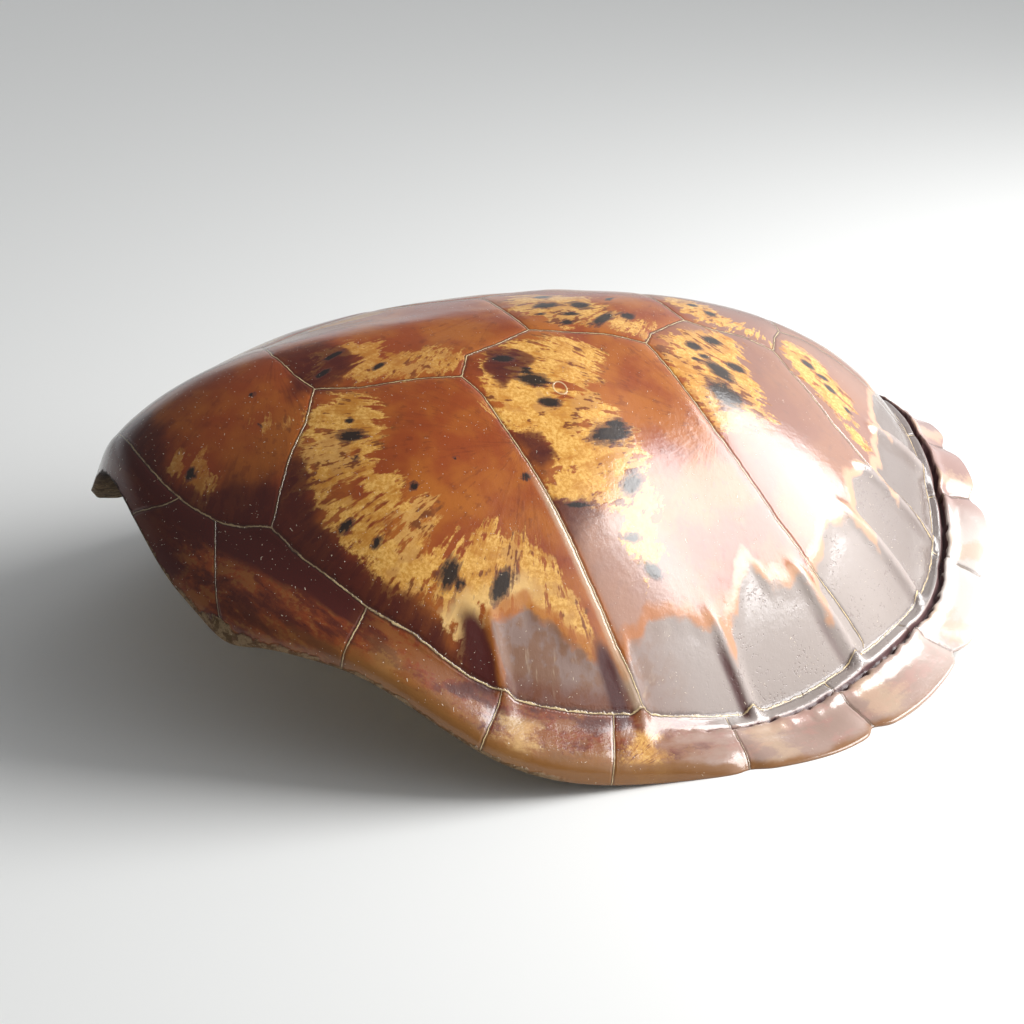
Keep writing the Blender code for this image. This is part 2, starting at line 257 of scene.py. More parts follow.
# Blackish blotches: along, across, length, width, and the turn of the length from the x axis.
BLOTCHES = (
    (-167, 84, 17, 7, 24), (-163, 74, 5, 4, 0), (-170, 98, 6, 3, 10), (-190, 126, 10, 4, 0),
    (-144, 125, 5, 4, -20), (-140, 164, 17, 7, -24), (-135, 169, 8, 3.5, -10),
    (-110, 174, 19, 7, -22), (-74, 135, 6, 4, 0), (-113, 118, 5, 2, 0), (-176, 140, 9, 4, -10),
    (-52, 60, 16, 6, 8), (-41, 72, 8, 4, 20), (-40, 80, 19, 9, 20), (-38, 97, 15, 6, 14),
    (-6, 120, 30, 10, -8), (0, 115, 14, 7, -14), (-6, 146, 19, 8, -24), (-18, 169, 12, 4, -4),
    (-10, 182, 14, 6, 12), (-48, 153, 20, 2.6, 4), (92, 98, 22, 18, 30), (98, 80, 18, 12, 40),
    (114, 74, 12, 8, 10), (109, 51, 13, 9, 0), (90, 59, 11, 8, 0), (93, 68, 8, 4, 0),
    (84, 72, 6, 3, 0), (188, 51, 10, 6, 20), (197, 66, 8, 5, 20), (196, 58, 9, 4, 10),
    (204, 78, 6, 4, 30), (8, 6, 17, 8, 0), (31, 10, 13, 11, 20), (36, 32, 26, 7, -34),
    (18, 22, 12, 5, 10), (10, 32, 8, 6, 0), (57, 28, 10, 8, -20), (22, -12, 12, 7, -10),
    (58, 2, 10, 4, -40), (-2, 18, 7, 3, 0), (128, 18, 9, 6, 20), (120, 8, 8, 5, 0),
    (250, 10, 10, 6, 0), (234, -4, 8, 5, 0), (-208, 29, 4, 3, 0), (-212, 50, 5, 2, 70),
    (-258, 50, 8, 5, 40), (-128, 40, 10, 4, -20), (-150, 20, 16, 4, -20), (-162, 32, 12, 4, -16),
)
# What the fields of the blotches and the scar say where there is none.
NO_BLOTCH, NO_SCAR = -9.0, 99
# The ring-shaped scar a barnacle left on the second side plate.
SCAR_PLACE = (-26, 89)
SCAR_RADIUS = 4.4
# How far off its outline the belt's edge strays, in millimetres.
BELT_RAGGEDNESS = 1.2
# On the far side marks stray along by two sine waves, as millimetres and wave lengths, and
# across by a share of their distance. As near the crown line as the strip, the far side shows
# what the tables say beyond the line.
FAR_STRAY_ALONG = ((9, 26), (4, 13))
FAR_STRAY_ACROSS = (0.06, 29)
CROWN_STRIP = 40

# ---------------------------------------------------------------- fineness of the surface

DOME_ROWS = 96
BAND_ROWS = 38
LIP_ROWS = 20
INNER_ROWS = 22
VARNISHED_LIP_ROWS = 15
# Place of the first row beside the crown, and the small step that slopes are measured over.
FIRST_PLACE = 0.012
SLOPE_STEP = 1e-3

# ---------------------------------------------------------------- sections, fields and relief

def ease(value, start, end):
    """A step from 0 at start to 1 at end, with level ends: 3x^2 - 2x^3."""
    x = np.clip((value - start) / (end - start), 0, 1)
    return x * x * (3 - 2 * x)


def bump(distance, half_width):
    """A bell of height 1 that has fallen to 0.37 at half_width."""
    return np.exp(-(distance / half_width) ** 2)


def from_tail(angle):
    """The angle from the tail, 0 to pi on either side."""
    return np.abs((angle + np.pi) % (2 * np.pi) - np.pi)


def station_slopes(stations, values):
    """Slopes of the smoothest cubic through the stations, level at both ends."""
    gaps = np.diff(stations)
    count = len(stations)
    system = np.eye(count)
    target = np.zeros(count)
    for i in range(1, count - 1):
        before, after = gaps[i - 1], gaps[i]
        system[i, i - 1:i + 2] = 1 / before, 2 / before + 2 / after, 1 / after
        rise_before = (values[i] - values[i - 1]) / before ** 2
        rise_after = (values[i + 1] - values[i]) / after ** 2
        target[i] = 3 * (rise_before + rise_after)
    return np.linalg.solve(system, target)


def round_the_shell(values, angle):
    """One driving row read at any angle: the cubic Hermite curve through its stations."""
    turn = from_tail(angle)
    slopes = station_slopes(SECTION_ANGLES, values)
    i = np.clip(np.searchsorted(SECTION_ANGLES, turn, side="right") - 1, 0, len(values) - 2)
    gap = SECTION_ANGLES[i + 1] - SECTION_ANGLES[i]
    u = (turn - SECTION_ANGLES[i]) / gap
    start = values[i] * (1 + 2 * u) * (1 - u) ** 2 + gap * slopes[i] * u * (1 - u) ** 2
    end = values[i + 1] * u ** 2 * (3 - 2 * u) + gap * slopes[i + 1] * u ** 2 * (u - 1)
    return start + end


def flange_share(angle):
    """1 where the band is a flared flange, 0 where it is rolled under."""
    return 1 - ease(from_tail(angle), FLARE_STARTS, FLARE_ENDS)


def dome_section(place, angle):
    """Radius and height on the smooth dome, place 0 at the crown and 1 at the border.

    The fall from the crown line is a sum of second, fourth and eighth powers of place.
    """
    border_height = round_the_shell(BORDER_HEIGHT, angle)
    radius = round_the_shell(BORDER_RADIUS, angle) * place
    even_share = 1 - ROUND_SHARE - LATE_SHARE
    fall = ROUND_SHARE * place ** 2 + even_share * place ** 4 + LATE_SHARE * place ** 8
    x = radius * np.cos(angle)
    crown = CROWN_HEIGHT * (1 + CROWN_LEAN * x + CROWN_RISE * x ** 2 + CROWN_DROP * x ** 3)
    return radius, border_height * fall + crown * (1 - fall)


def edge_section(angle):
    """Radius and height of the edge: the driving rows, less a bell at each seam of the flange,
    plus half a sine wave between seams."""
    turn = from_tail(angle)
    radius = round_the_shell(EDGE_RADIUS, angle)
    nearest = np.abs(turn[..., None] - SEAM_AT_EDGE).min(axis=-1) * radius
    after = np.clip(np.searchsorted(SEAM_AT_EDGE, turn, side="right"), 1, len(SEAM_AT_EDGE) - 1)
    width = SEAM_AT_EDGE[after] - SEAM_AT_EDGE[after - 1]
    within = np.clip((turn - SEAM_AT_EDGE[after - 1]) / width, 0, 1)
    scallop = SCALLOP_FULLNESS * np.sin(np.pi * within) - NOTCH_DEPTH * bump(nearest, NOTCH_WIDTH)
    return radius + flange_share(angle) * scallop, round_the_shell(EDGE_HEIGHT, angle)


def band_section(place, angle):
    """Radius and height on the smooth band, place 0 at the border and 1 at the edge.

    A cubic Bezier curve that leaves the border along the dome and meets the edge turned down
    where the band is rolled, or nearly flat where it is a flange.
    """
    border_radius, border_height = dome_section(np.ones_like(angle), angle)
    edge_radius, edge_height = edge_section(angle)
    above = dome_section(np.full_like(angle, 1 - SLOPE_STEP), angle)[1]
    dome_slope = np.arctan2(above - border_height, border_radius * SLOPE_STEP)
    flange = flange_share(angle)
    neck = ease(from_tail(angle), NECK_STARTS, NECK_ENDS)
    top_slope = dome_slope * (1 - flange) + FLANGE_TOP_SLOPE * flange
    rolled_slope = SIDE_EDGE_SLOPE * (1 - neck) + NECK_EDGE_SLOPE * neck
    edge_slope = rolled_slope * (1 - flange) + FLANGE_EDGE_SLOPE * flange
    reach = BAND_FULLNESS * np.hypot(edge_radius - border_radius, edge_height - border_height)
    back = 1 - place
    weights = (back ** 3, 3 * back ** 2 * place, 3 * back * place ** 2, place ** 3)
    radii = (border_radius, border_radius + reach * np.cos(top_slope),
             edge_radius - reach * np.cos(edge_slope), edge_radius)
    heights = (border_height, border_height - reach * np.sin(top_slope),
               edge_height + reach * np.sin(edge_slope), edge_height)
    radius = sum(weight * value for weight, value in zip(weights, radii))
    height = sum(weight * value for weight, value in zip(weights, heights))
    return radius, height


def ragged(angle, waves):
    """A wandering line round the shell, about -1 to 1: sines of the given waves per turn."""
    total = sum(np.sin(wave * angle + 1.7 * wave) for wave in waves)
    return total / len(waves) * 1.6


def count_past(seams, ends, along, across):
    """How many seams a point lies past, with the part of the next gap: each seam is read as
    x(across), and the gap between two of them, or to an end, is crossed evenly."""
    readings = [np.interp(across, *np.array(seam, float)[:, ::-1].T) for seam in seams]
    readings = [ends[0], *readings, ends[1]]
    steps = [np.clip((along - a) / (b - a), 0, 1) for a, b in zip(readings, readings[1:])]
    return sum(steps)


def distance_to_line(line, along, across):
    """Shortest distance from each point to a line of straight stretches."""
    nearest = np.full(np.shape(along), np.inf)
    for (ax, ay), (bx, by) in zip(line, line[1:]):
        dx, dy = bx - ax, by - ay
        t = np.clip(((along - ax) * dx + (across - ay) * dy) / (dx * dx + dy * dy), 0, 1)
        nearest = np.minimum(nearest, np.hypot(along - ax - t * dx, across - ay - t * dy))
    return nearest


def inside_outline(outline, along, across):
    """Distance to an outline, counted positive inside it: the inside is where a ray towards
    -x crosses the outline an odd number of times."""
    closed = tuple(outline) + (outline[0],)
    odd = np.zeros(np.shape(along), bool)
    for (ax, ay), (bx, by) in zip(closed, closed[1:]):
        spans = (ay > across) != (by > across)
        crossing = ax + (across - ay) * (bx - ax) / (by - ay if by != ay else 1)
        odd ^= spans & (along < crossing)
    return np.where(odd, 1, -1) * distance_to_line(closed, along, across)


def nearest_outline(outlines, along, across):
    """The greatest of the distances inside several outlines."""
    return np.max([inside_outline(outline, along, across) for outline in outlines], axis=0)


def blotch_field(along, across):
    """1 at the middle of the nearest blotch and 0 on its elliptical edge."""
    field = np.full(np.shape(along), NO_BLOTCH)
    for place_x, place_y, length, width, turn in BLOTCHES:
        cos, sin = math.cos(math.radians(turn)), math.sin(math.radians(turn))
        dx, dy = along - place_x, across - place_y
        reach = np.hypot((dx * cos + dy * sin) / (length / 2), (dy * cos - dx * sin) / (width / 2))
        field = np.maximum(field, 1 - reach)
    return field


def border_kink(angle):
    """Millimetres by which the border's seam strays inwards, read from the table of kinks."""
    kinks = np.array(BORDER_KINKS, float)
    return np.interp(np.degrees(from_tail(angle)), kinks[:, 0], kinks[:, 1])


def seam_fields(along, across, angle, band_place, beyond):
    """The fields that draw the seams. Distances are in millimetres and change sign from plate
    to plate; numbers count the plates and grow by one at each seam."""
    line = np.array(BACK_ROW_LINE, float)
    side = np.sign(across - np.interp(along, line[:, 0], line[:, 1]))
    back_edge = side * distance_to_line(BACK_ROW_LINE, along, across)
    back_number = count_past(BACK_SEAMS, BACK_ROW_ENDS, along, across)
    side_number = count_past(SIDE_SEAMS, SIDE_ROW_ENDS, along, across)
    back_seam, side_seam = (
        np.min([distance_to_line(seam, along, across) for seam in seams], axis=0)
        for seams in (BACK_SEAMS, SIDE_SEAMS))
    turn = from_tail(angle)
    seams = SEAM_AT_BORDER + (SEAM_AT_EDGE - SEAM_AT_BORDER) * band_place[..., None]
    past_the_neck = np.full(seams.shape[:-1] + (1,), np.pi + 0.1)
    gaps = np.diff(np.append(seams, past_the_neck, axis=-1), axis=-1)
    rim_number = np.clip((turn[..., None] - seams) / gaps, 0, 1).sum(axis=-1)
    rim_seam = np.abs(turn[..., None] - seams).min(axis=-1) * RIM_RADIUS
    fields = {"back_edge": back_edge, "beyond_border": beyond + border_kink(angle)}
    rows = (("back", back_seam, back_number), ("side", side_seam, side_number),
            ("rim", rim_seam, rim_number))
    for row, distance, number in rows:
        fields[row + "_seam"] = distance * (1 - 2 * (np.floor(number) % 2))
        fields[row + "_number"] = number
    return fields


def rib_relief(place, angle, into_belt, sizes):
    """Height added by the sunken belt and the rib ends that cross it, with the share of a rib
    and of the shadowed flank on its front side."""
    turn = from_tail(angle)
    belt = ease(into_belt, *BELT_SINKS)
    radius = round_the_shell(BORDER_RADIUS, angle) * place
    rib_angles = RIB_ANGLES + RIB_LEAN * (1 - place[..., None])
    offsets = (turn[..., None] - rib_angles) * radius[..., None]
    which = np.abs(offsets).argmin(axis=-1)[..., None]
    nearest = np.take_along_axis(offsets, which, axis=-1)[..., 0]
    rib = bump(nearest, sizes.rib_half_width)
    stations, strength, off, half_width = np.transpose(RIB_FLANKS)
    at_rib = np.degrees(RIB_ANGLES)
    before = offsets / MM - np.interp(at_rib, stations, off)
    widths = np.interp(at_rib, stations, half_width)
    flank = (bump(before, widths) * np.interp(at_rib, stations, strength)).max(axis=-1)
    rise = ease(into_belt, *RIBS_RISE)
    height = sizes.rib_height * (TAIL_RIB_GAIN - (TAIL_RIB_GAIN - 1) * ease(turn, *TAIL_RIBS_END))
    relief = rise * height * rib - belt * sizes.belt_depth * (1 - rib)
    return relief, rib * rise, flank * ease(place, *FLANKS_DARKEN)


def groove_relief(place, angle, sizes):
    """Height added to the band by the groove and the swell beyond it, and the groove's share.

    The groove is as wide as the space between two eased steps. Its outer wall is steep and
    jagged by fine sine waves, and the groove narrows where the flange starts."""
    turn = from_tail(angle)
    wide = ease(turn, FLARE_STARTS + 0.2, FLARE_STARTS - 0.4)
    width = NARROW_GROOVE + (1 - NARROW_GROOVE) * wide
    inner = GROOVE_INNER + GROOVE_WANDER * ragged(angle, (5, 9, 14))
    outer = inner + (GROOVE_OUTER - GROOVE_INNER) * width
    outer = outer + WALL_RAGGEDNESS * ragged(angle, (97, 151, 233))
    groove = ease(place, inner - INNER_WALL, inner + INNER_WALL)
    groove = groove * (1 - ease(place, outer - OUTER_WALL, outer + OUTER_WALL))
    ring = bump(place - outer - RING_REACH, RING_WIDTH)
    ring = ring * sizes.ring_height * (1 + RING_RAGGEDNESS * ragged(angle, (37, 71)))
    flange = flange_share(angle)
    return flange * (ring - sizes.groove_depth * groove), flange * groove


def slow_waves(along, across):
    """Gentle swells of the surface, about 0.3 mm high and 40 to 90 mm long."""
    swell = np.sin(along / 9.0 + 1.3 * np.sin(across / 17.0)) * np.sin(across / 11.0 + 0.8)
    swell = swell + 0.6 * np.sin(along / 15.0 - across / 8.0)
    return SWELL_HEIGHT * swell


def ring_points(radius, height, angle):
    """Points in space from radius, height and angle."""
    return np.stack([CROWN_X + radius * np.cos(angle), radius * np.sin(angle), height], axis=-1)


def set_in(section, place, angle, wall):
    """Points on the inside of a section, one wall's thickness below its surface."""
    place = np.broadcast_to(place, angle.shape).astype(float)
    radius, height = section(place, angle)
    near_radius, near_height = section(place - SLOPE_STEP, angle)
    along_radius, along_height = radius - near_radius, height - near_height
    length = np.hypot(along_radius, along_height)
    return radius + wall * along_height / length, height - wall * along_radius / length


# ---------------------------------------------------------------- the surface

def column_angles(spacing):
    """Angles of the columns, evenly spread within each marginal plate, none wider than the
    spacing at the edge."""
    stops = np.append(SEAM_AT_EDGE, np.pi)
    half = []
    for start, end in zip(stops, stops[1:]):
        middle = np.array([(start + end) / 2])
        arc = (end - start) * float(edge_section(middle)[0][0])
        half.append(np.linspace(start, end, math.ceil(arc / spacing), endpoint=False))
    half = np.concatenate(half)
    return np.concatenate([half, [np.pi], 2 * np.pi - half[:0:-1]])


def through_rings(rings, count):
    """Rows on the smooth curve through a few rings: a Catmull-Rom spline in each column."""
    padded = np.concatenate([rings[:1], rings, rings[-1:]])
    at = np.linspace(0, len(rings) - 1, count + 1)[1:]
    i = np.minimum(at.astype(int), len(rings) - 2)
    t = (at - i)[:, None, None]
    a, b, c, d = padded[i], padded[i + 1], padded[i + 2], padded[i + 3]
    return 0.5 * (2 * b + (c - a) * t + (2 * a - 5 * b + 4 * c - d) * t ** 2
                  + (3 * b - a - 3 * c + d) * t ** 3)


def seam_fold(fields, on_dome, beyond):
    """Depth of the shallow folds that the seams lie in, on the dome and on the band."""
    to_side = np.minimum(np.abs(fields["side_seam"]), OTHER_ROW_FOLD)
    to_side = to_side + OTHER_ROW_FOLD * (fields["back_edge"] < 0)
    to_back = np.abs(fields["back_seam"]) + OTHER_ROW_FOLD * (fields["back_edge"] > 0)
    on_the_dome = np.minimum(np.minimum(to_side, to_back), np.abs(fields["back_edge"]))
    on_the_band = np.minimum(np.abs(fields["rim_seam"]), beyond)
    nearest = np.where(on_dome, np.minimum(on_the_dome, -beyond), on_the_band)
    return FOLD_DEPTH * bump(nearest, FOLD_HALF_WIDTH)


def mark_fields(along, across, far):
    """The fields of the marks. On the far side they're read a little astray, so that the two
    sides aren't mirror images. A mark that crosses the crown line runs on across it."""
    (slow, slow_wave), (quick, quick_wave) = FAR_STRAY_ALONG
    stray = slow * np.sin(across / slow_wave) + quick * np.sin(along / quick_wave)
    spread, wave = FAR_STRAY_ACROSS
    crown_side = np.where(far & (across < CROWN_STRIP), -1, 1)
    mark_along = along + far * stray
    mark_across = across * (1 + far * spread * np.sin(along / wave)) * crown_side
    scar = np.hypot(along - SCAR_PLACE[0], across - SCAR_PLACE[1]) - SCAR_RADIUS
    return {"ochre": nearest_outline(OCHRE_PATCHES, mark_along, mark_across),
            "brown": nearest_outline(BROWN_ISLANDS, mark_along, mark_across),
            "dark": nearest_outline(DARK_ZONES, mark_along, mark_across),
            "blotch": blotch_field(mark_along, mark_across),
            "scar": np.where(far, NO_SCAR, scar)}


def outside_rows(columns, sizes):
    """Outside of the shell from the first row beside the crown down to the edge, with the
    fields that its material reads."""
    places = np.concatenate([np.linspace(FIRST_PLACE, 1, DOME_ROWS),
                             1 + np.arange(1, BAND_ROWS + 1) / BAND_ROWS])
    place, angle = np.meshgrid(places, columns, indexing="ij")
    on_dome = place <= 1
    dome_place = np.minimum(place, 1)
    band_place = np.clip(place - 1, 0, 1)
    dome_radius, dome_height = dome_section(dome_place, angle)
    band_radius, band_height = band_section(band_place, angle)
    radius = np.where(on_dome, dome_radius, band_radius)
    height = np.where(on_dome, dome_height, band_height)
    along = radius * np.cos(angle) / MM
    across = np.abs(radius * np.sin(angle)) / MM
    border = round_the_shell(BORDER_RADIUS, angle)
    edge_radius, edge_height = edge_section(angle)
    band_width = np.hypot(edge_radius - border, edge_height - round_the_shell(BORDER_HEIGHT, angle))
    past_border = band_place * band_width * BAND_CURVE_GAIN
    beyond = np.where(on_dome, (dome_place - 1) * border, past_border) / MM
    fields = seam_fields(along, across, angle, band_place, beyond)

    into_belt = inside_outline(BELT_OUTLINE, along, across)
    into_belt = into_belt + BELT_RAGGEDNESS * ragged(angle, (31, 47, 83))
    rib_height, rib, flank = rib_relief(dome_place, angle, into_belt, sizes)
    groove_height, groove = groove_relief(band_place, angle, sizes)
    flange = flange_share(angle)
    fade_out = (1 - flange) * (1 - band_place) ** 5
    fade_out = fade_out + flange * (1 - ease(band_place, 0, GROOVE_INNER))
    height = height + rib_height * fade_out + groove_height * ~on_dome
    height = height - seam_fold(fields, on_dome, beyond) + slow_waves(along, across)
    fields.update(mark_fields(along, across, np.sin(angle) > 0))
    fields["belt"] = into_belt
    fields["rib"] = rib * fade_out
    fields["flank"] = flank * fade_out
    fields["groove"] = groove * ~on_dome
    fields["band_place"] = band_place
    return ring_points(radius, height, angle), fields


def under_rows(columns, sizes):
    """Underside from the edge round the lip and up the inside to the last row by the crown."""
    edge_radius, edge_height = edge_section(columns)
    flange = flange_share(columns)
    hang = CORNER_DROP * bump(from_tail(columns) - CORNER_ANGLE, CORNER_WIDTH)
    rings = [ring_points(edge_radius, edge_height, columns)]
    for (inwards, upwards), (place, wall) in zip(LIP_OFFSETS, FLANGE_RINGS):
        under_radius, under_height = set_in(band_section, place, columns, wall * MM)
        radius = (edge_radius + inwards * MM) * (1 - flange) + under_radius * flange
        height = (edge_height + upwards * MM - hang) * (1 - flange) + under_height * flange
        rings.append(ring_points(radius, height, columns))
    wall = RIM_WALL * (1 - flange) + (FLANGE_WALL + sizes.groove_depth) * flange
    for place in INNER_BAND_PLACES:
        rings.append(ring_points(*set_in(band_section, place, columns, wall), columns))
    rings.append(ring_points(*set_in(dome_section, 1.0, columns, wall), columns))
    lip = through_rings(np.stack(rings), LIP_ROWS)

    places = np.linspace(1, FIRST_PLACE, INNER_ROWS + 1)[1:]
    place, angle = np.meshgrid(places, columns, indexing="ij")
    thickness = DOME_WALL + (wall - DOME_WALL) * ease(place, *WALL_THICKENS)
    inside = ring_points(*set_in(dome_section, place, angle, thickness), angle)
    spine = bump(inside[..., 1], SPINE_HALF_WIDTH) * (1 - ease(place, *SPINE_FADES))
    inside[..., 2] -= SPINE_DEPTH * spine
    return np.concatenate([lip, inside])


def grid_faces(row_count, column_count):
    """Corner numbers of the closed surface: quads between rows, a fan of triangles at each end.
    Point 0 is the crown outside and the last point is the crown inside."""
    column = np.arange(column_count)
    following = (column + 1) % column_count
    start = 1 + np.arange(row_count - 1)[:, None] * column_count
    quads = np.stack([start + column, start + column_count + column,
                      start + column_count + following, start + following], axis=-1)
    last = 1 + (row_count - 1) * column_count
    inner = last + column_count
    top = np.stack([np.zeros_like(column), 1 + column, 1 + following], axis=-1)
    bottom = np.stack([np.full_like(column, inner), last + following, last + column], axis=-1)
    return quads.reshape(-1, 4), np.concatenate([top, bottom])


def mesh_from_grid(name, rows, poles):
    """A mesh from rows of points and its two end points."""
    row_count, column_count = rows.shape[:2]
    points = np.concatenate([[poles[0]], rows.reshape(-1, 3), [poles[1]]])
    quads, triangles = grid_faces(row_count, column_count)
    mesh = bpy.data.meshes.new(name)
    mesh.vertices.add(len(points))
    mesh.vertices.foreach_set("co", points.ravel())
    mesh.loops.add(quads.size + triangles.size)
    mesh.loops.foreach_set("vertex_index", np.concatenate([quads.ravel(), triangles.ravel()]))
    corners = np.concatenate([np.full(len(quads), 4), np.full(len(triangles), 3)])
    mesh.polygons.add(len(corners))
    mesh.polygons.foreach_set("loop_start", np.concatenate([[0], np.cumsum(corners)[:-1]]))
    mesh.update(calc_edges=True)
    mesh.validate()
    mesh.shade_smooth()
    return mesh


def build_shell_mesh(sizes):
    """The whole shell as one closed mesh, with its fields and its outside and inside faces."""
    columns = column_angles(sizes.point_spacing)
    outside, fields = outside_rows(columns, sizes)
    underside = under_rows(columns, sizes)
    rows = np.concatenate([outside, underside])
    crown = np.array([CROWN_X, 0, CROWN_HEIGHT])
    poles = (crown, crown - [0, 0, DOME_WALL + SPINE_DEPTH])
    rows = np.clip(rows, SHELL_LOW, SHELL_HIGH)
    mesh = mesh_from_grid("carapace_horn", rows, poles)
    under_size = underside.shape[0] * underside.shape[1]
    for name, values in fields.items():
        under = np.repeat(values[-1:], underside.shape[0], axis=0).reshape(under_size)
        flat = np.concatenate([[values[0].mean()], values.ravel(), under, [values[0].mean()]])
        attribute = mesh.attributes.new(name, "FLOAT", "POINT")
        attribute.data.foreach_set("value", flat.astype(np.float32))
    row_of_point = np.concatenate([[0], np.repeat(np.arange(len(rows)), len(columns)), [len(rows)]])
    under_depth = np.clip(row_of_point - len(outside) + 1, 0, None).astype(np.float32)
    mesh.attributes.new("under_edge", "FLOAT", "POINT").data.foreach_set("value", under_depth)
    return mesh, len(outside), len(columns)


# ---------------------------------------------------------------- materials

# Fields that the surface carries as float attributes.
FIELD_NAMES = ("back_edge", "back_seam", "side_seam", "rim_seam", "back_number", "side_number",
               "rim_number", "beyond_border", "ochre", "brown", "dark", "blotch", "scar", "belt",
               "rib", "flank", "groove", "band_place", "under_edge")
# Noises: the size of their lumps in millimetres, their detail and their roughness.
NOISES = {"broad": (42.0, 3.0, 0.55), "heap": (20.0, 2.0, 0.55), "cloud": (14.0, 3.0, 0.55),
          "patch": (7.0, 3.0, 0.55), "bend": (5.0, 3.0, 0.55), "grain": (2.2, 4.0, 0.7),
          "pit": (2.0, 2.0, 0.6), "jitter": (1.6, 2.0, 0.55), "fine": (0.8, 2.0, 0.55)}
# Growth streaks: how quickly they change with the direction from the growth centre, their
# length in millimetres and their detail.
STREAKS = {"streak": (14.0, 34.0, 4.0), "thread": (38.0, 60.0, 3.0), "dash": (30.0, 11.0, 3.0)}
NODES_IN_A_ROW = 14


def linear(hex_colour):
    """An sRGB hex colour as a linear colour with alpha."""
    channels = [int(hex_colour[i:i + 2], 16) / 255 for i in (1, 3, 5)]
    return [c / 12.92 if c <= 0.04045 else ((c + 0.055) / 1.055) ** 2.4 for c in channels] + [1.0]


def add_node(tree, kind, *inputs, out=0, **settings):
    """Adds one shader node with its settings and links, and returns one of its outputs. The
    inputs come in order, or as one dictionary by name or number."""
    node = tree.nodes.new("ShaderNode" + kind)
    row, column = divmod(len(tree.nodes), NODES_IN_A_ROW)
    node.location = (200 * column, -260 * row)
    for name, value in settings.items():
        setattr(node, name, value)
    if not (inputs and isinstance(inputs[0], dict)):
        inputs = [dict(enumerate(inputs))]
    for key, value in inputs[0].items():
        if isinstance(value, bpy.types.NodeSocket):
            tree.links.new(value, node.inputs[key])
        else:
            node.inputs[key].default_value = value
    return node.outputs[out]


def new_material(name):
    """An empty node material and its tree."""
    material = bpy.data.materials.new(name)
    material.use_nodes = True
    material.node_tree.nodes.clear()
    return material, material.node_tree


def finish_material(tree, shader_inputs):
    """A Principled shader with the given inputs, wired to the output."""
    shader = add_node(tree, "BsdfPrincipled", shader_inputs)
    output = tree.nodes.new("ShaderNodeOutputMaterial")
    tree.links.new(shader, output.inputs["Surface"])


def share(tree, *factors):
    """A share between 0 and 1, the product of its factors: numbers, sockets and smooth ramps.
    A ramp is (value, where it starts, where it ends), and may add what it runs from and to."""
    product = None
    for factor in factors:
        if isinstance(factor, tuple):
            factor = add_node(tree, "MapRange", *factor, interpolation_type="SMOOTHSTEP")
        if product is not None:
            factor = add_node(tree, "Math", product, factor, operation="MULTIPLY")
        product = factor
    return product


def lay(tree, under, *layers):
    """Lays colours over one another: each layer is a colour and the factors of its share."""
    for over, *factors in layers:
        under, over = (linear(colour) if isinstance(colour, str) else colour
                       for colour in (under, over))
        under = add_node(tree, "Mix", {0: share(tree, *factors), 6: under, 7: over}, out=2,
                         data_type="RGBA")
    return under


def rippled(tree, value, *ripples):
    """A value with noises round 0.5 added to it, each as (noise, reach)."""
    for noise, reach in ripples:
        centred = add_node(tree, "Math", noise, 0.5, operation="SUBTRACT")
        value = add_node(tree, "Math", centred, reach, value, operation="MULTIPLY_ADD")
    return value


def by_row(tree, at, on_side, on_back, on_rim):
    """One value out of three, by the row of plates that a point lies on."""
    dome = add_node(tree, "Mix", {0: at.on_back, 2: on_side, 3: on_back})
    return add_node(tree, "Mix", {0: at.on_rim, 2: dome, 3: on_rim})


def growth_place(tree, at):
    """Where a point lies in its horn plate: the way from the plate's growth centre, near its
    rear seam, the distance from it in millimetres, and a number that differs by plate."""
    add = partial(add_node, tree)
    number = by_row(tree, at, at.side_number, at.back_number, at.rim_number)
    back = add("Math", add("Math", number, operation="FRACT"), 1.02, operation="SUBTRACT")
    run = add("Math", back, by_row(tree, at, 128.0, 115.0, 70.0), operation="MULTIPLY")
    side_lift = add("Math", at.across, -118.0, operation="ADD")
    rim_lift = add("Math", at.beyond_border, -44.0, operation="ADD")
    heading = add("CombineXYZ", run, by_row(tree, at, side_lift, at.across, rim_lift), 0.0)
    reach = add("VectorMath", heading, out="Value", operation="LENGTH")
    way = add("VectorMath", heading, operation="NORMALIZE")
    plate = add("Math", number, operation="FLOOR")
    seed = add("Math", plate, by_row(tree, at, 0.0, 13.0, 29.0), operation="ADD")
    return way, reach, add("Math", at.side, 3.7, seed, operation="MULTIPLY_ADD")


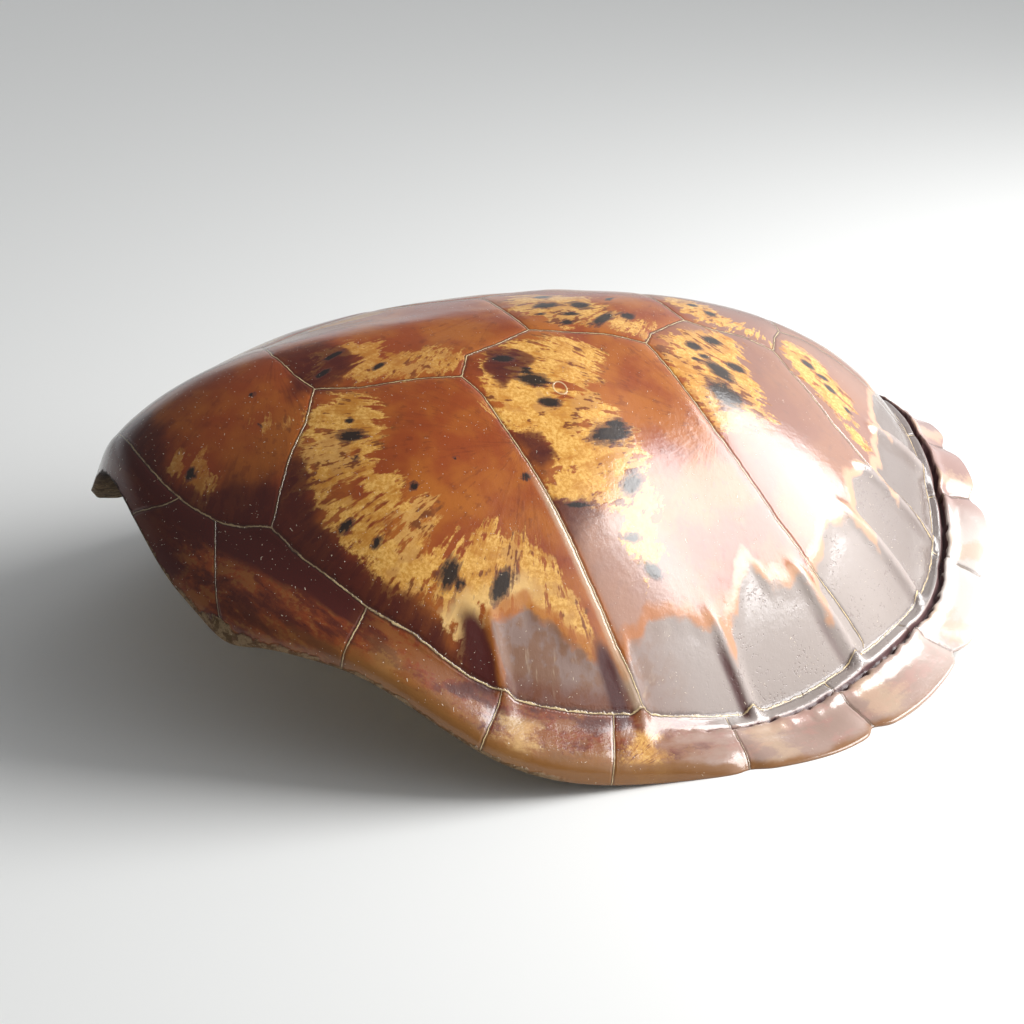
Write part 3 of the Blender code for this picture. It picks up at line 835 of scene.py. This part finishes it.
def surface_sockets(tree):
    """What the layers of horn read, as sockets: the surface's fields, its Object coordinates in
    millimetres, noises, and streaks. A streak is noise drawn out along the way the horn grew:
    it changes quickly with the direction from the growth centre, and slowly with the distance."""
    add = partial(add_node, tree)
    at = SimpleNamespace(**{name: add("Attribute", out="Fac", attribute_name=name)
                            for name in FIELD_NAMES})
    in_metres = add("TexCoord", out="Object")
    at.mm = add("VectorMath", {0: in_metres, "Scale": 1000.0}, operation="SCALE")
    at.x = add("SeparateXYZ", at.mm, out="X")
    y = add("SeparateXYZ", at.mm, out="Y")
    at.side = add("Math", y, operation="SIGN")
    at.across = add("Math", y, operation="ABSOLUTE")
    at.off_border = add("Math", at.beyond_border, operation="ABSOLUTE")
    at.on_back = add("Math", at.back_edge, 0.0, operation="LESS_THAN")
    at.off_back = add("Math", 1.0, at.on_back, operation="SUBTRACT")
    at.on_rim = add("Math", at.beyond_border, 0.0, operation="GREATER_THAN")
    at.on_dome = add("Math", 1.0, at.on_rim, operation="SUBTRACT")
    for name, (size, detail, roughness) in NOISES.items():
        setattr(at, name, add("TexNoise", {"Vector": at.mm, "Scale": 1.0 / size, "Detail": detail,
                                           "Roughness": roughness}))
    way, reach, seed = growth_place(tree, at)
    for name, (turn, length_mm, detail) in STREAKS.items():
        turned = add("VectorMath", {0: way, "Scale": turn}, operation="SCALE")
        along = add("Math", reach, 1.0 / length_mm, operation="MULTIPLY")
        point = add("VectorMath", turned, add("CombineXYZ", 0.0, 0.0, along), operation="ADD")
        streak = add("TexNoise", {"Vector": point, "W": seed, "Scale": 1.0, "Detail": detail,
                                  "Roughness": 0.6}, noise_dimensions="4D")
        setattr(at, name, streak)
    return at


def ground_colour(tree, at, colours):
    """Red-brown horn, warmer in slow clouds, with faint growth streaks, duller and pinker towards
    the tail partly as painted sheen, paler low on the second side plate partly as painted
    sheen, and maroon where it is thick. The maroon's core comes with it, as a share."""
    rearward = add_node(tree, "Math", share(tree, (at.side_number, 1.9, 2.6), at.off_back),
                        share(tree, (at.back_number, 2.9, 3.3), at.on_back), operation="MAXIMUM")
    core = share(tree, (rippled(tree, at.dark, (at.cloud, 12.0), (at.dash, 6.0)), -4.0, 4.0))
    colour = lay(
        tree, colours.red_brown,
        (colours.orange_brown, (at.broad, 0.38, 0.62)),
        (colours.chestnut, (at.streak, 0.50, 0.80), 0.35),
        (colours.chestnut, (rippled(tree, at.patch, (at.dash, 0.6)), 0.56, 0.72), 0.35),
        (colours.chestnut, (at.x, -170.0, -240.0), 0.35),
        # Duller, pinkish ground towards the tail: the brown of the rear plates with painted sheen.
        (colours.rear_brown_sheen, rearward, 0.72),
        # Pinkish tan low on the second side plate: translucent horn, partly painted sheen.
        (colours.pale_brown_sheen, (at.side_number, 1.0, 1.03), (at.side_number, 1.5, 1.25),
         (at.across, 138.0, 165.0), at.off_back, 0.75),
        (colours.maroon, (rippled(tree, at.dark, (at.streak, 30.0), (at.cloud, 18.0)), -12.0, 10.0),
         (rippled(tree, at.dash, (at.patch, 0.6)), 0.62, 0.40, 0.62, 0.92)),
        (colours.maroon, core, 0.62))
    return colour, core


def flame_colour(tree, at, colours):
    """Ochre, mottled with honey, amber and tan, with brown holes and cream low in front."""
    hole = share(tree, (rippled(tree, at.dash, (at.patch, 0.45), (at.broad, 0.6)), 0.56, 0.64))
    stain = lay(tree, colours.red_brown, (colours.chestnut, (at.cloud, 0.45, 0.60)))
    return lay(
        tree, colours.ochre,
        (colours.honey, (at.grain, 0.35, 0.68)),
        (colours.amber, (rippled(tree, at.cloud, (at.thread, 0.5)), 0.42, 0.72)),
        (stain, hole, 0.85),
        (colours.ochre_tan, (rippled(tree, at.broad, (at.cloud, 0.5)), 0.52, 0.60), 0.6,
         add_node(tree, "Math", 1.0, hole, operation="SUBTRACT")),
        (colours.cream, (rippled(tree, at.across, (at.cloud, 16.0)), 170.0, 178.0),
         (at.x, -100.0, -116.0), 0.7))


def flame_share(tree, at, core):
    """Where the flames are: outlines pushed in and out by streaks, less the brown islands, and
    fewer by the neck, behind the first plate of the back and in the maroon's core."""
    flame = rippled(tree, at.ochre, (at.streak, 32.0), (at.dash, 26.0), (at.grain, 8.0),
                    (at.patch, 18.0))
    island = rippled(tree, at.brown, (at.streak, 26.0), (at.dash, 24.0))
    second = share(tree, at.on_back, (at.x, -60.0, -80.0), 0.25)
    return share(tree, (flame, -1.5, 3.5), (island, 2.0, -2.0), at.on_dome,
                 (core, 0.2, 0.8, 1.0, 0.15), (at.x, -222.0, -206.0, 0.55, 1.0),
                 add_node(tree, "Math", 1.0, second, operation="SUBTRACT"))


def marginal_colour(tree, at, colours, flames):
    """The marginal plates: maroon by the neck, orange-brown along the flank, pinkish tan and
    rose on the flange, near-white by the tail partly as a painted highlight, with flame colour
    and gold low on the plates."""
    add = partial(add_node, tree)
    number, band = at.rim_number, at.band_place
    point = add("CombineXYZ", add("Math", number, 4.3, operation="MULTIPLY"),
                add("Math", at.beyond_border, 0.11, operation="MULTIPLY"), at.side)
    mottle = add("TexNoise", {"Vector": point, "Scale": 0.8, "Detail": 4.0, "Roughness": 0.6})
    flecks = rippled(tree, mottle, (at.patch, 0.5), (at.grain, 0.4))
    on_flank = share(tree, (number, 9.2, 8.6))
    gold = add("Math", band, 1.3, -0.195, operation="MULTIPLY_ADD")
    flange = lay(tree, colours.rim_tan,
                 (colours.rim_pink, (rippled(tree, mottle, (at.patch, 0.5)), 0.46, 0.62)),
                 # Near-white flange plates by the tail: pale horn, partly a painted highlight.
                 (colours.rim_pale_highlight, (number, 4.6, 3.2)),
                 (colours.rim_rose, (number, 2.7, 1.9)))
    in_plate = add("Math", number, operation="FRACT")
    aside = add("Math", add("Math", in_plate, 0.76, operation="SUBTRACT"), operation="ABSOLUTE")
    front_patch = add("Math", aside, -3.6, 1.0, operation="MULTIPLY_ADD")
    low = add("Math", share(tree, (number, 6.6, 5.8)), -0.2, band, operation="MULTIPLY_ADD")
    return lay(
        tree, colours.rim_orange,
        (colours.rim_brown, (mottle, 0.40, 0.62)),
        (colours.rim_ochre, (flecks, 0.52, 0.40), 0.55),
        (colours.maroon, (flecks, 0.58, 0.66), (number, 9.2, 8.6, 0.5, 0.35)),
        (colours.rim_gold, (rippled(tree, gold, (at.cloud, 1.2), (at.grain, 0.9)), 0.42, 0.62),
         on_flank, 0.6),
        (flange, (rippled(tree, number, (mottle, 1.2)), 6.9, 5.9)),
        (colours.maroon, (rippled(tree, band, (mottle, 0.3)), 0.36, 0.24), (number, 8.8, 9.1)),
        (colours.maroon, (rippled(tree, number, (mottle, 0.9)), 10.15, 10.6), 0.85),
        (lay(tree, flames, (colours.flange_patch, (number, 6.9, 5.9))),
         (rippled(tree, front_patch, (mottle, 2.2), (at.grain, 0.7)), 0.30, 0.85),
         (band, 0.16, 0.34), (number, 9.3, 6.8), (number, 5.6, 6.6, 0.5, 0.85)),
        (colours.rim_ochre, (rippled(tree, low, (mottle, 0.22)), 0.66, 0.78), (number, 10.0, 8.2),
         (number, 3.9, 5.2), 0.9))


def lay_belt(tree, at, colours, colour):
    """The sunken belt over the gaps between ribs: thin grey horn with an orange fringe, streaks
    and pits, darker towards the tail as painted shade, paler rib crests that are partly a
    painted highlight, dark flanks that are partly painted shade, and painted shade in the
    groove. The pits and the groove come with the colour, as shares."""
    add = partial(add_node, tree)
    edge = rippled(tree, at.belt, (at.cloud, 9.0))
    inner = add("Math", at.band_place, 6.0, at.groove, operation="MULTIPLY_ADD")
    inner_rim = share(tree, at.on_rim, (inner, 1.15, 0.85), (at.rim_number, 6.4, 6.0))
    belt = add("Math", share(tree, (edge, 0.0, 3.0), at.on_dome), inner_rim, operation="MAXIMUM")
    pitted = share(tree, (rippled(tree, at.pit, (at.cloud, 0.5), (at.broad, 0.4)), 0.62, 0.72),
                   (at.side_number, 1.2, 1.5), belt)
    groove = share(tree, (at.groove, 0.10, 0.40))
    fringe = lay(tree, colours.fringe, (colours.fringe_pale, (at.side_number, 1.1, 1.7)))
    belt_colour = lay(
        tree, colours.belt,
        (colours.belt_brown,
         (rippled(tree, at.cloud, (at.thread, 0.35), (at.patch, 0.3)), 0.40, 0.60)),
        (colours.belt_pale, (at.dash, 0.56, 0.70), (at.cloud, 0.40, 0.60), 0.55),
        (colours.chestnut, (at.off_border, 9.0, 3.0), (at.side_number, 1.05, 0.95), 0.6),
        (colours.belt_grey, (at.side_number, 0.94, 1.3)),
        # Darker belt towards the tail: painted shade.
        (colours.belt_tail_shade, (at.side_number, 2.2, 3.0)),
        (colours.groove, pitted, 0.25))
    colour = lay(
        tree, colour,
        (fringe, (edge, -5.5, -1.5), at.on_dome, 0.8),
        (belt_colour, belt, 0.92),
        # Maroon on the flank in front of each rib: partly painted shade.
        (colours.maroon, (at.flank, 0.05, 0.75)),
        # Paler rib crests: partly a painted highlight.
        (colours.rib_crest_highlight, (at.rib, 0.45, 0.95), at.on_dome, 0.4),
        # Painted shade in the groove.
        (colours.groove, groove, 0.96))
    return colour, pitted, groove


def lay_blotches(tree, at, colours, colour):
    """Black blotches with frayed ends and a purple-brown halo."""
    frayed = rippled(tree, at.blotch, (at.thread, 1.0), (at.dash, 0.9), (at.grain, 0.9))
    return lay(tree, colour,
               (colours.blotch_halo, (rippled(tree, frayed, (at.dash, 0.8)), -0.42, -0.12),
                at.on_dome, 0.7),
               (colours.black, (frayed, -0.15, 0.3), at.on_dome, 0.93))


def lay_seams(tree, at, colours, colour):
    """Thin pale lines of filler between plates, with a dark hairline on both sides. The lines,
    the scar's line and the distance to the nearest seam come with the colour."""
    add = partial(add_node, tree)
    wander = rippled(tree, 0.0, (at.bend, 1.4), (at.jitter, 0.5))
    back, side, back_edge, rim, border = (
        add("Math", add("Math", distance, wander, operation="ADD"), operation="ABSOLUTE")
        for distance in (at.back_seam, at.side_seam, at.back_edge, at.rim_seam, at.beyond_border))
    nearest_back = add("Math", at.off_back, OTHER_ROW, back, operation="MULTIPLY_ADD")
    nearest_side = add("Math", at.on_back, OTHER_ROW, side, operation="MULTIPLY_ADD")
    dome = add("Math", nearest_back, nearest_side, operation="MINIMUM")
    dome = add("Math", back_edge, dome, operation="MINIMUM")
    nearest = add("Mix", {0: at.on_rim, 2: dome, 3: rim})
    nearest = add("Math", nearest, border, operation="MINIMUM")
    rear_rim = share(tree, at.on_rim, (at.rim_number, 6.2, 5.9), (at.band_place, 0.05, 0.12))
    line = share(tree, (nearest, 0.46, 0.14),
                 add("Math", rear_rim, -0.85, 1.0, operation="MULTIPLY_ADD"))
    scar_line = share(tree, (add("Math", at.scar, operation="ABSOLUTE"), 0.7, 0.25))
    colour = lay(
        tree, colour,
        (colours.seam_shadow, (nearest, 1.5, 0.45), 0.65),
        # A pale strip beside the first side seam, low on the first side plate: pale horn on the
        # ridge there, partly a painted highlight.
        (colours.flange_patch, (side, 6.0, 2.5), (at.side_number, 0.78, 0.9),
         (at.side_number, 1.01, 0.99), (at.across, 125.0, 150.0), at.on_dome, 0.6),
        (colours.seam, line, (at.patch, 0.3, 0.6, 0.3, 0.9), (at.x, -238.0, -215.0, 0.45, 1.0)),
        (colours.seam, scar_line, 0.6))
    return colour, line, scar_line, nearest


def lay_rind(tree, at, colours, colour):
    """Dried rind and raw bone: round the lip, along the lower edge in front, and at a corner by
    the neck. Where it is bare comes with the colour, as a share."""
    add = partial(add_node, tree)
    strip = share(tree, (rippled(tree, at.band_place, (at.patch, 0.14)), 0.95, 0.99),
                  (at.rim_number, 7.2, 7.6), 0.9)
    from_corner = add("Math", at.rim_number, 10.0, operation="SUBTRACT")
    aside = add("Math", from_corner, operation="ABSOLUTE")
    corner = share(tree, add("Math", aside, -7.0, 1.0, operation="MULTIPLY_ADD"),
                   (rippled(tree, at.band_place, (at.patch, 0.16)), 0.90, 0.95))
    bare = share(tree, (rippled(tree, at.under_edge, (at.cloud, 3.0)), 1.6, 3.2))
    for other in (strip, share(tree, (corner, 0.2, 0.5))):
        bare = add("Math", bare, other, operation="MAXIMUM")
    rind = lay(tree, colours.rind,
               (colours.rind_pale, (rippled(tree, at.patch, (at.grain, 0.7)), 0.42, 0.60)),
               (colours.neck_rind, (at.rim_number, 10.6, 11.2)))
    return lay(tree, colour, (rind, bare)), bare


def dust_share(tree, at):
    """Dust caught in the varnish: specks of about 0.6 mm, in drifts in front and by the border."""
    add = partial(add_node, tree)
    strewn = add("TexNoise", {"Vector": at.mm, "Scale": 1.0 / 9.0, "Detail": 2.0}, out="Color")
    strewn = add("VectorMath", {0: strewn, "Scale": 16.0}, operation="SCALE")
    strewn = add("VectorMath", at.mm, strewn, operation="ADD")
    speck = add("TexVoronoi", {"Vector": strewn, "Scale": 1.0 / 3.3, "Randomness": 1.0},
                out="Distance")
    where = add("Math", share(tree, (at.x, -90.0, -190.0)), share(tree, (at.off_border, 12.0, 3.0)),
                operation="MAXIMUM")
    drift = add("Math", where, 0.12, at.heap, operation="MULTIPLY_ADD")
    return share(tree, (speck, 0.12, 0.06), (drift, 0.45, 0.58))


def varnished_horn(colours):
    """Sea turtle horn, sanded and varnished. The eye reads it as a deep, wet-looking gloss
    over translucent red-brown horn, with ochre flames, black blotches and fine pale seams."""
    material, tree = new_material("varnished_horn")
    add = partial(add_node, tree)
    at = surface_sockets(tree)
    colour, core = ground_colour(tree, at, colours)
    flames = flame_colour(tree, at, colours)
    rim = marginal_colour(tree, at, colours, flames)
    colour = lay(tree, colour, (flames, flame_share(tree, at, core)), (rim, at.on_rim))
    colour, pitted, groove = lay_belt(tree, at, colours, colour)
    colour = lay_blotches(tree, at, colours, colour)
    colour, line, scar_line, nearest = lay_seams(tree, at, colours, colour)
    colour, bare = lay_rind(tree, at, colours, colour)
    dust = dust_share(tree, at)
    colour = lay(tree, colour, (colours.dust, dust, 0.75))

    # Relief too fine for the mesh, as shares with their heights in millimetres.
    height = 0.0
    beside_seam = share(tree, (nearest, 2.2, 0.7))
    lumps = share(tree, bare, rippled(tree, at.cloud, (at.grain, 1.0)))
    for relief, reach in ((line, 0.30), (beside_seam, -0.22), (at.thread, 0.05), (at.grain, 0.06),
                          (at.patch, 0.16), (pitted, -0.15), (scar_line, 0.15), (dust, 0.10),
                          (lumps, 1.6)):
        height = add("Math", relief, reach, height, operation="MULTIPLY_ADD")
    normal = add("Bump", {"Strength": 1.0, "Distance": MM, "Height": height})

    roughness = add("Math", at.fine, 0.14, 0.38, operation="MULTIPLY_ADD")
    roughness = add("Math", roughness, share(tree, bare, 0.75), operation="MAXIMUM")
    dull = add("Math", bare, share(tree, groove, 0.7), operation="MAXIMUM")
    coat = add("Math", dull, -0.95, 1.0, operation="MULTIPLY_ADD")
    finish_material(tree, {
        "Base Color": colour, "Roughness": roughness, "Normal": normal, "IOR": 1.54,
        "Specular IOR Level": 0.10, "Coat Weight": coat, "Coat Roughness": 0.15, "Coat IOR": 1.5,
        "Coat Normal": normal,
    })
    return material


def bare_bone(colours):
    """Cleaned bone on the inside, left unvarnished. It looks chalky and yellow-grey, with
    pores of about half a millimetre and brown stains where tissue dried."""
    material, tree = new_material("bare_bone")
    add = partial(add_node, tree)
    mm = add("VectorMath", {0: add("TexCoord", out="Object"), "Scale": 1000.0}, operation="SCALE")
    stain = add("TexNoise", {"Vector": mm, "Scale": 1.0 / 38.0, "Detail": 4.0})
    pore = add("TexVoronoi", {"Vector": mm, "Scale": 1.0 / 2.4}, out="Distance")
    grain = add("TexNoise", {"Vector": mm, "Scale": 1.0 / 3.0, "Detail": 4.0})
    hole = share(tree, (pore, 0.10, 0.22, 0.6, 0.0))
    colour = lay(tree, colours.bone, (colours.bone_stain, (stain, 0.42, 0.66)),
                 (colours.rind, hole))
    height = add("Math", hole, -0.5, grain, operation="MULTIPLY_ADD")
    normal = add("Bump", {"Strength": 0.7, "Distance": MM, "Height": height})
    finish_material(tree, {"Base Color": colour, "Roughness": 0.62, "Normal": normal, "IOR": 1.55})
    return material


def matte_card():
    """White card for the floor: matt, with no mark on it."""
    material, tree = new_material("matte_card")
    finish_material(tree, {"Base Color": linear("#EDEDEB"), "Roughness": 0.9})
    return material


# ---------------------------------------------------------------- properties

def colour_text(name, description, default):
    """A colour property, given as an sRGB hex value."""
    return bpy.props.StringProperty(name=name, description=description, default=default)


def metres(name, description, default):
    """A length property."""
    return bpy.props.FloatProperty(name=name, description=description, default=default, min=0.0,
                                   precision=4, subtype="DISTANCE", unit="LENGTH")


def degrees(name, description, default):
    """An angle property, its default given in degrees."""
    return bpy.props.FloatProperty(name=name, description=description, subtype="ANGLE",
                                   default=math.radians(default), unit="ROTATION")


def brightness(name, description, default):
    """A strength of light from the room, without a unit."""
    return bpy.props.FloatProperty(name=name, description=description, default=default)


def metres_xyz(name, description, default):
    """A point in space."""
    return bpy.props.FloatVectorProperty(name=name, description=description, default=default,
                                         subtype="XYZ", unit="LENGTH")


class ShellSizes(bpy.types.PropertyGroup):
    """Sizes of the relief on the shell, and how fine its surface is."""
    point_spacing: metres("Point spacing", "Widest gap between points along the edge", 3.3 * MM)
    groove_depth: metres("Groove depth", "Depth of the groove inside the flange", 4.5 * MM)
    ring_height: metres("Swell height", "Height of the swell outside the groove", 2.6 * MM)
    belt_depth: metres("Belt depth", "How far the belt between the ribs is sunk", 2.0 * MM)
    rib_height: metres("Rib height", "Height of the rib ends along the flanks", 3.4 * MM)
    rib_half_width: metres("Rib half width", "Half the width of a rib end", 4.2 * MM)


class ShellColours(bpy.types.PropertyGroup):
    """Colours of the horn and bone, as sRGB hex values."""
    red_brown: colour_text("Red-brown", "Ground colour of the plates", "#8A3C10")
    orange_brown: colour_text("Orange-brown", "Warmer ground colour of the plates", "#A25A1A")
    # Translucent pinkish horn, partly painted sheen from the glare nearby.
    pale_brown_sheen: colour_text("Pale brown", "Thin pinkish horn low on a side plate", "#9C7A6B")
    # The brown of the rear plates with painted sheen of reflected light over it.
    rear_brown_sheen: colour_text("Rear brown", "Duller, pinkish ground of the rear plates", "#86685C")
    chestnut: colour_text("Chestnut", "Growth streaks in the ground", "#5E220C")
    maroon: colour_text("Maroon", "Thick dark horn", "#440F06")
    ochre: colour_text("Ochre", "Main colour of the flames", "#BF8634")
    ochre_tan: colour_text("Tan", "Smoother tan in the flames", "#BC8A4C")
    cream: colour_text("Cream", "Palest tip of the flames", "#E2BC7C")
    honey: colour_text("Honey", "Lightest mottling of the flames", "#E0B060")
    amber: colour_text("Amber", "Deeper colour in the flames", "#B07224")
    blotch_halo: colour_text("Blotch halo", "Purple-brown round the blotches", "#5A3026")
    black: colour_text("Black", "Blotches", "#15100F")
    fringe: colour_text("Fringe", "Orange fringe of the sunken belt", "#A8601C")
    fringe_pale: colour_text("Pale fringe", "Fringe of the belt towards the tail", "#C79C7C")
    belt: colour_text("Belt", "Thin horn over the gaps between ribs", "#857068")
    belt_grey: colour_text("Grey belt", "Greyer horn of the belt towards the tail", "#938A85")
    # Painted shade: the belt darker by the tail.
    belt_tail_shade: colour_text("Dark belt", "Darker horn of the belt by the tail", "#6C6461")
    belt_pale: colour_text("Belt streaks", "Cream streaks in the belt", "#C8B69C")
    belt_brown: colour_text("Belt brown", "Browner streaks in the belt", "#7E5E4C")
    # Paler horn along the ribs, partly a painted highlight.
    rib_crest_highlight: colour_text("Rib crest", "Paler horn along the ribs", "#B5A6A0")
    # Painted shade at the bottom of the groove; a little of it also darkens the belt's pits.
    groove: colour_text("Groove", "Bottom of the groove", "#54383A")
    rim_orange: colour_text("Rim orange", "Marginal plates along the flank", "#80380F")
    rim_brown: colour_text("Rim brown", "Darker clouds on those plates", "#56200B")
    rim_tan: colour_text("Rim tan", "Marginal plates of the flange", "#A0867A")
    rim_gold: colour_text("Rim gold", "Mottles low on the marginal plates", "#8C5E27")
    rim_pink: colour_text("Rim pink", "Pinkish clouds on the flange", "#A8857A")
    rim_rose: colour_text("Rose rim", "Flange plates at the tail", "#94766E")
    # Pale horn, whitened further as a painted highlight.
    rim_pale_highlight: colour_text("Pale rim", "Flange plates by the tail", "#CDC3BC")
    flange_patch: colour_text("Flange patch", "Pale patches on the flange", "#C2A688")
    rim_ochre: colour_text("Rim ochre", "Lower part of the marginal plates", "#805324")
    seam: colour_text("Seam", "Pale filler in the seams", "#D2B888")
    seam_shadow: colour_text("Seam shadow", "Dark hairline beside a seam", "#34180C")
    rind: colour_text("Rind", "Dried skin and raw bone round the lip", "#5A4630")
    rind_pale: colour_text("Pale rind", "Dusty patches on the rind", "#8A7458")
    neck_rind: colour_text("Neck rind", "Dark torn rind over the neck", "#2E2420")
    dust: colour_text("Dust", "Specks in the varnish", "#E0CDB4")
    bone: colour_text("Bone", "Bone of the inside", "#C9B592")
    bone_stain: colour_text("Bone stain", "Stains on the bone", "#8A6A42")


class StageSizes(bpy.types.PropertyGroup):
    """Camera, floor and lights."""
    azimuth: degrees("Azimuth", "Turn of the camera round the shell, 0 looking along +Y", -27.34)
    elevation: degrees("Elevation", "Height of the camera as an angle above the floor", 24.41)
    roll: degrees("Roll", "Turn of the camera about its line of sight", 0.156)
    distance: metres("Distance", "From the aimed point to the camera", 1.578)
    focal_length: bpy.props.FloatProperty(
        name="Focal length", description="In millimetres on a 36 mm sensor", default=81.0)
    aim: metres_xyz("Aim", "Point that the camera looks at", (-0.0273, 0.0051, 0.0709))
    floor_size: metres("Floor size", "Side of the square floor", 14.0)
    window_power: bpy.props.FloatProperty(
        name="Window light", description="Power of the window light", default=35.0, unit="POWER")
    window_width: metres("Window width", "Width of the window light", 1.1)
    window_height: metres("Window height", "Height of the window light", 0.8)
    window_place: metres_xyz("Window place", "Middle of the window light", (1.12, -0.56, 0.80))
    window_target: metres_xyz("Window target", "Point that the window faces", (0.0, 0.0, 0.08))
    window_way: bpy.props.FloatVectorProperty(
        name="Window direction", description="Middle of the glow round the window",
        default=(0.74, -0.62, 0.26), subtype="XYZ")
    glow_light: brightness("Glow", "Brightness of the glow round the window", 2.0)
    side_light: brightness("Side", "Brightness of the pale room beyond the window", 0.8)
    wall_light: brightness("Wall", "Brightness of the pale wall behind the shell", 0.62)
    ceiling_light: brightness("Ceiling", "Brightness of the ceiling", 0.28)
    room_light: brightness("Room", "Brightness of the dim side of the room", 0.19)


# ---------------------------------------------------------------- operators

class SHELL_OT_grow(bpy.types.Operator):
    """Make the shell's fine surface and its horn and bone."""
    bl_idname = "shell.grow"
    bl_label = "Make the shell"

    def execute(self, context):
        colours = context.scene.shell_colours
        mesh, outside_row_count, column_count = build_shell_mesh(context.scene.shell_sizes)
        mesh.materials.append(varnished_horn(colours))
        mesh.materials.append(bare_bone(colours))
        slots = np.zeros(len(mesh.polygons), np.int32)
        varnished = (outside_row_count - 1 + VARNISHED_LIP_ROWS) * column_count
        slots[varnished:-2 * column_count] = 1
        slots[-column_count:] = 1
        mesh.polygons.foreach_set("material_index", slots)
        carapace = bpy.data.objects.new("carapace_horn", mesh)
        context.scene.collection.objects.link(carapace)
        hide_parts("carapace")
        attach(carapace, "root")
        return {"FINISHED"}


def add_window(sizes):
    """The window, as one rectangular light that faces the shell and that no camera sees."""
    light = bpy.data.lights.new("window", "AREA")
    light.shape = "RECTANGLE"
    light.size = sizes.window_width
    light.size_y = sizes.window_height
    light.energy = sizes.window_power
    window = bpy.data.objects.new("window", light)
    place = Vector(sizes.window_place)
    turn = (Vector(sizes.window_target) - place).to_track_quat("-Z", "Y")
    window.matrix_world = Matrix.Translation(place) @ turn.to_matrix().to_4x4()
    window.visible_camera = False
    bpy.context.scene.collection.objects.link(window)


def room(sizes):
    """The room round the shell: dim where the camera stands, a pale wall behind the shell, and
    a glow round the window. The camera itself sees the wall's brightness in every direction."""
    world = bpy.data.worlds.new("room")
    world.use_nodes = True
    tree = world.node_tree
    tree.nodes.clear()
    add = partial(add_node, tree)
    way = add("TexCoord", out="Generated")
    height = add("SeparateXYZ", way, out="Z")
    light = add("MapRange", height, 0.3, 1.0, sizes.room_light, sizes.ceiling_light)

    # Glows: the way each lies in, where it starts and is full by the cosine of the angle from
    # that way, its strength, and the height above which the wall's fades.
    glows = (((0.35, 1, 0), 0.05, 0.80, sizes.wall_light, [(height, 0.12, 0.62, 1.0, 0.0)]),
             (sizes.window_way, 0.74, 0.96, sizes.glow_light, []),
             ((0.9, 0.15, 0.42), 0.75, 0.98, sizes.side_light, []))
    for target, start, full, strength, fades in glows:
        target = Vector(target).normalized()
        nearness = add("VectorMath", way, target, out="Value", operation="DOT_PRODUCT")
        glow = share(tree, (nearness, start, full, 0.0, strength), *fades)
        light = add("Math", light, glow, operation="ADD")
    light = add("Mix", {0: add("LightPath", out="Is Camera Ray"), 2: light, 3: sizes.wall_light})
    sky = add("Background", {"Color": linear("#F6F8FA"), "Strength": light})
    output = tree.nodes.new("ShaderNodeOutputWorld")
    tree.links.new(sky, output.inputs["Surface"])
    return world


def add_camera(sizes):
    """The camera, from the angles of its line of sight."""
    level, lift = math.cos(sizes.elevation), math.sin(sizes.elevation)
    right = Vector((math.cos(sizes.azimuth), math.sin(sizes.azimuth), 0))
    back = Vector((math.sin(sizes.azimuth) * level, -math.cos(sizes.azimuth) * level, lift))
    turn = Matrix((right, back.cross(right), back)).transposed().to_4x4()
    data = bpy.data.cameras.new("camera")
    data.lens = sizes.focal_length
    data.sensor_width = 36
    camera = bpy.data.objects.new("camera", data)
    place = Matrix.Translation(Vector(sizes.aim) + back * sizes.distance)
    camera.matrix_world = place @ turn @ Matrix.Rotation(sizes.roll, 4, "Z")
    bpy.context.scene.collection.objects.link(camera)
    bpy.context.scene.camera = camera


class SHELL_OT_set_stage(bpy.types.Operator):
    """Lay the floor and set the window light, the room and the camera."""
    bl_idname = "shell.set_stage"
    bl_label = "Set the stage"

    def execute(self, context):
        sizes = context.scene.stage_sizes
        half = sizes.floor_size / 2
        mesh = bpy.data.meshes.new("floor")
        corners = [(-half, -half, 0), (half, -half, 0), (half, half, 0), (-half, half, 0)]
        mesh.from_pydata(corners, [], [(0, 1, 2, 3)])
        mesh.materials.append(matte_card())
        floor = bpy.data.objects.new("floor", mesh)
        context.scene.collection.objects.link(floor)
        add_window(sizes)
        context.scene.world = room(sizes)
        context.scene.view_settings.view_transform = "Standard"
        add_camera(sizes)
        return {"FINISHED"}


class SHELL_PT_panel(bpy.types.Panel):
    """Lists the shell's operators, colours and stage settings."""
    bl_label = "Turtle shell"
    bl_idname = "SHELL_PT_panel"
    bl_space_type = "VIEW_3D"
    bl_region_type = "UI"
    bl_category = "Turtle shell"

    def draw(self, context):
        for operator in (SHELL_OT_grow, SHELL_OT_set_stage):
            self.layout.operator(operator.bl_idname)
        scene = context.scene
        for group in (scene.shell_sizes, scene.shell_colours, scene.stage_sizes):
            box = self.layout.box()
            for name in group.bl_rna.properties.keys():
                if name not in ("rna_type", "name"):
                    box.prop(group, name)


CLASSES = (ShellSizes, ShellColours, StageSizes, SHELL_OT_grow, SHELL_OT_set_stage, SHELL_PT_panel)


def register():
    """Add the classes and their settings to Blender."""
    for cls in CLASSES:
        bpy.utils.register_class(cls)
    bpy.types.Scene.shell_sizes = bpy.props.PointerProperty(type=ShellSizes)
    bpy.types.Scene.shell_colours = bpy.props.PointerProperty(type=ShellColours)
    bpy.types.Scene.stage_sizes = bpy.props.PointerProperty(type=StageSizes)


def unregister():
    """Take them away again."""
    del bpy.types.Scene.stage_sizes
    del bpy.types.Scene.shell_colours
    del bpy.types.Scene.shell_sizes
    for cls in reversed(CLASSES):
        bpy.utils.unregister_class(cls)


def main():
    """Build everything."""
    register()
    bpy.ops.shell.grow()
    bpy.ops.shell.set_stage()


if __name__ == "__main__":
    main()
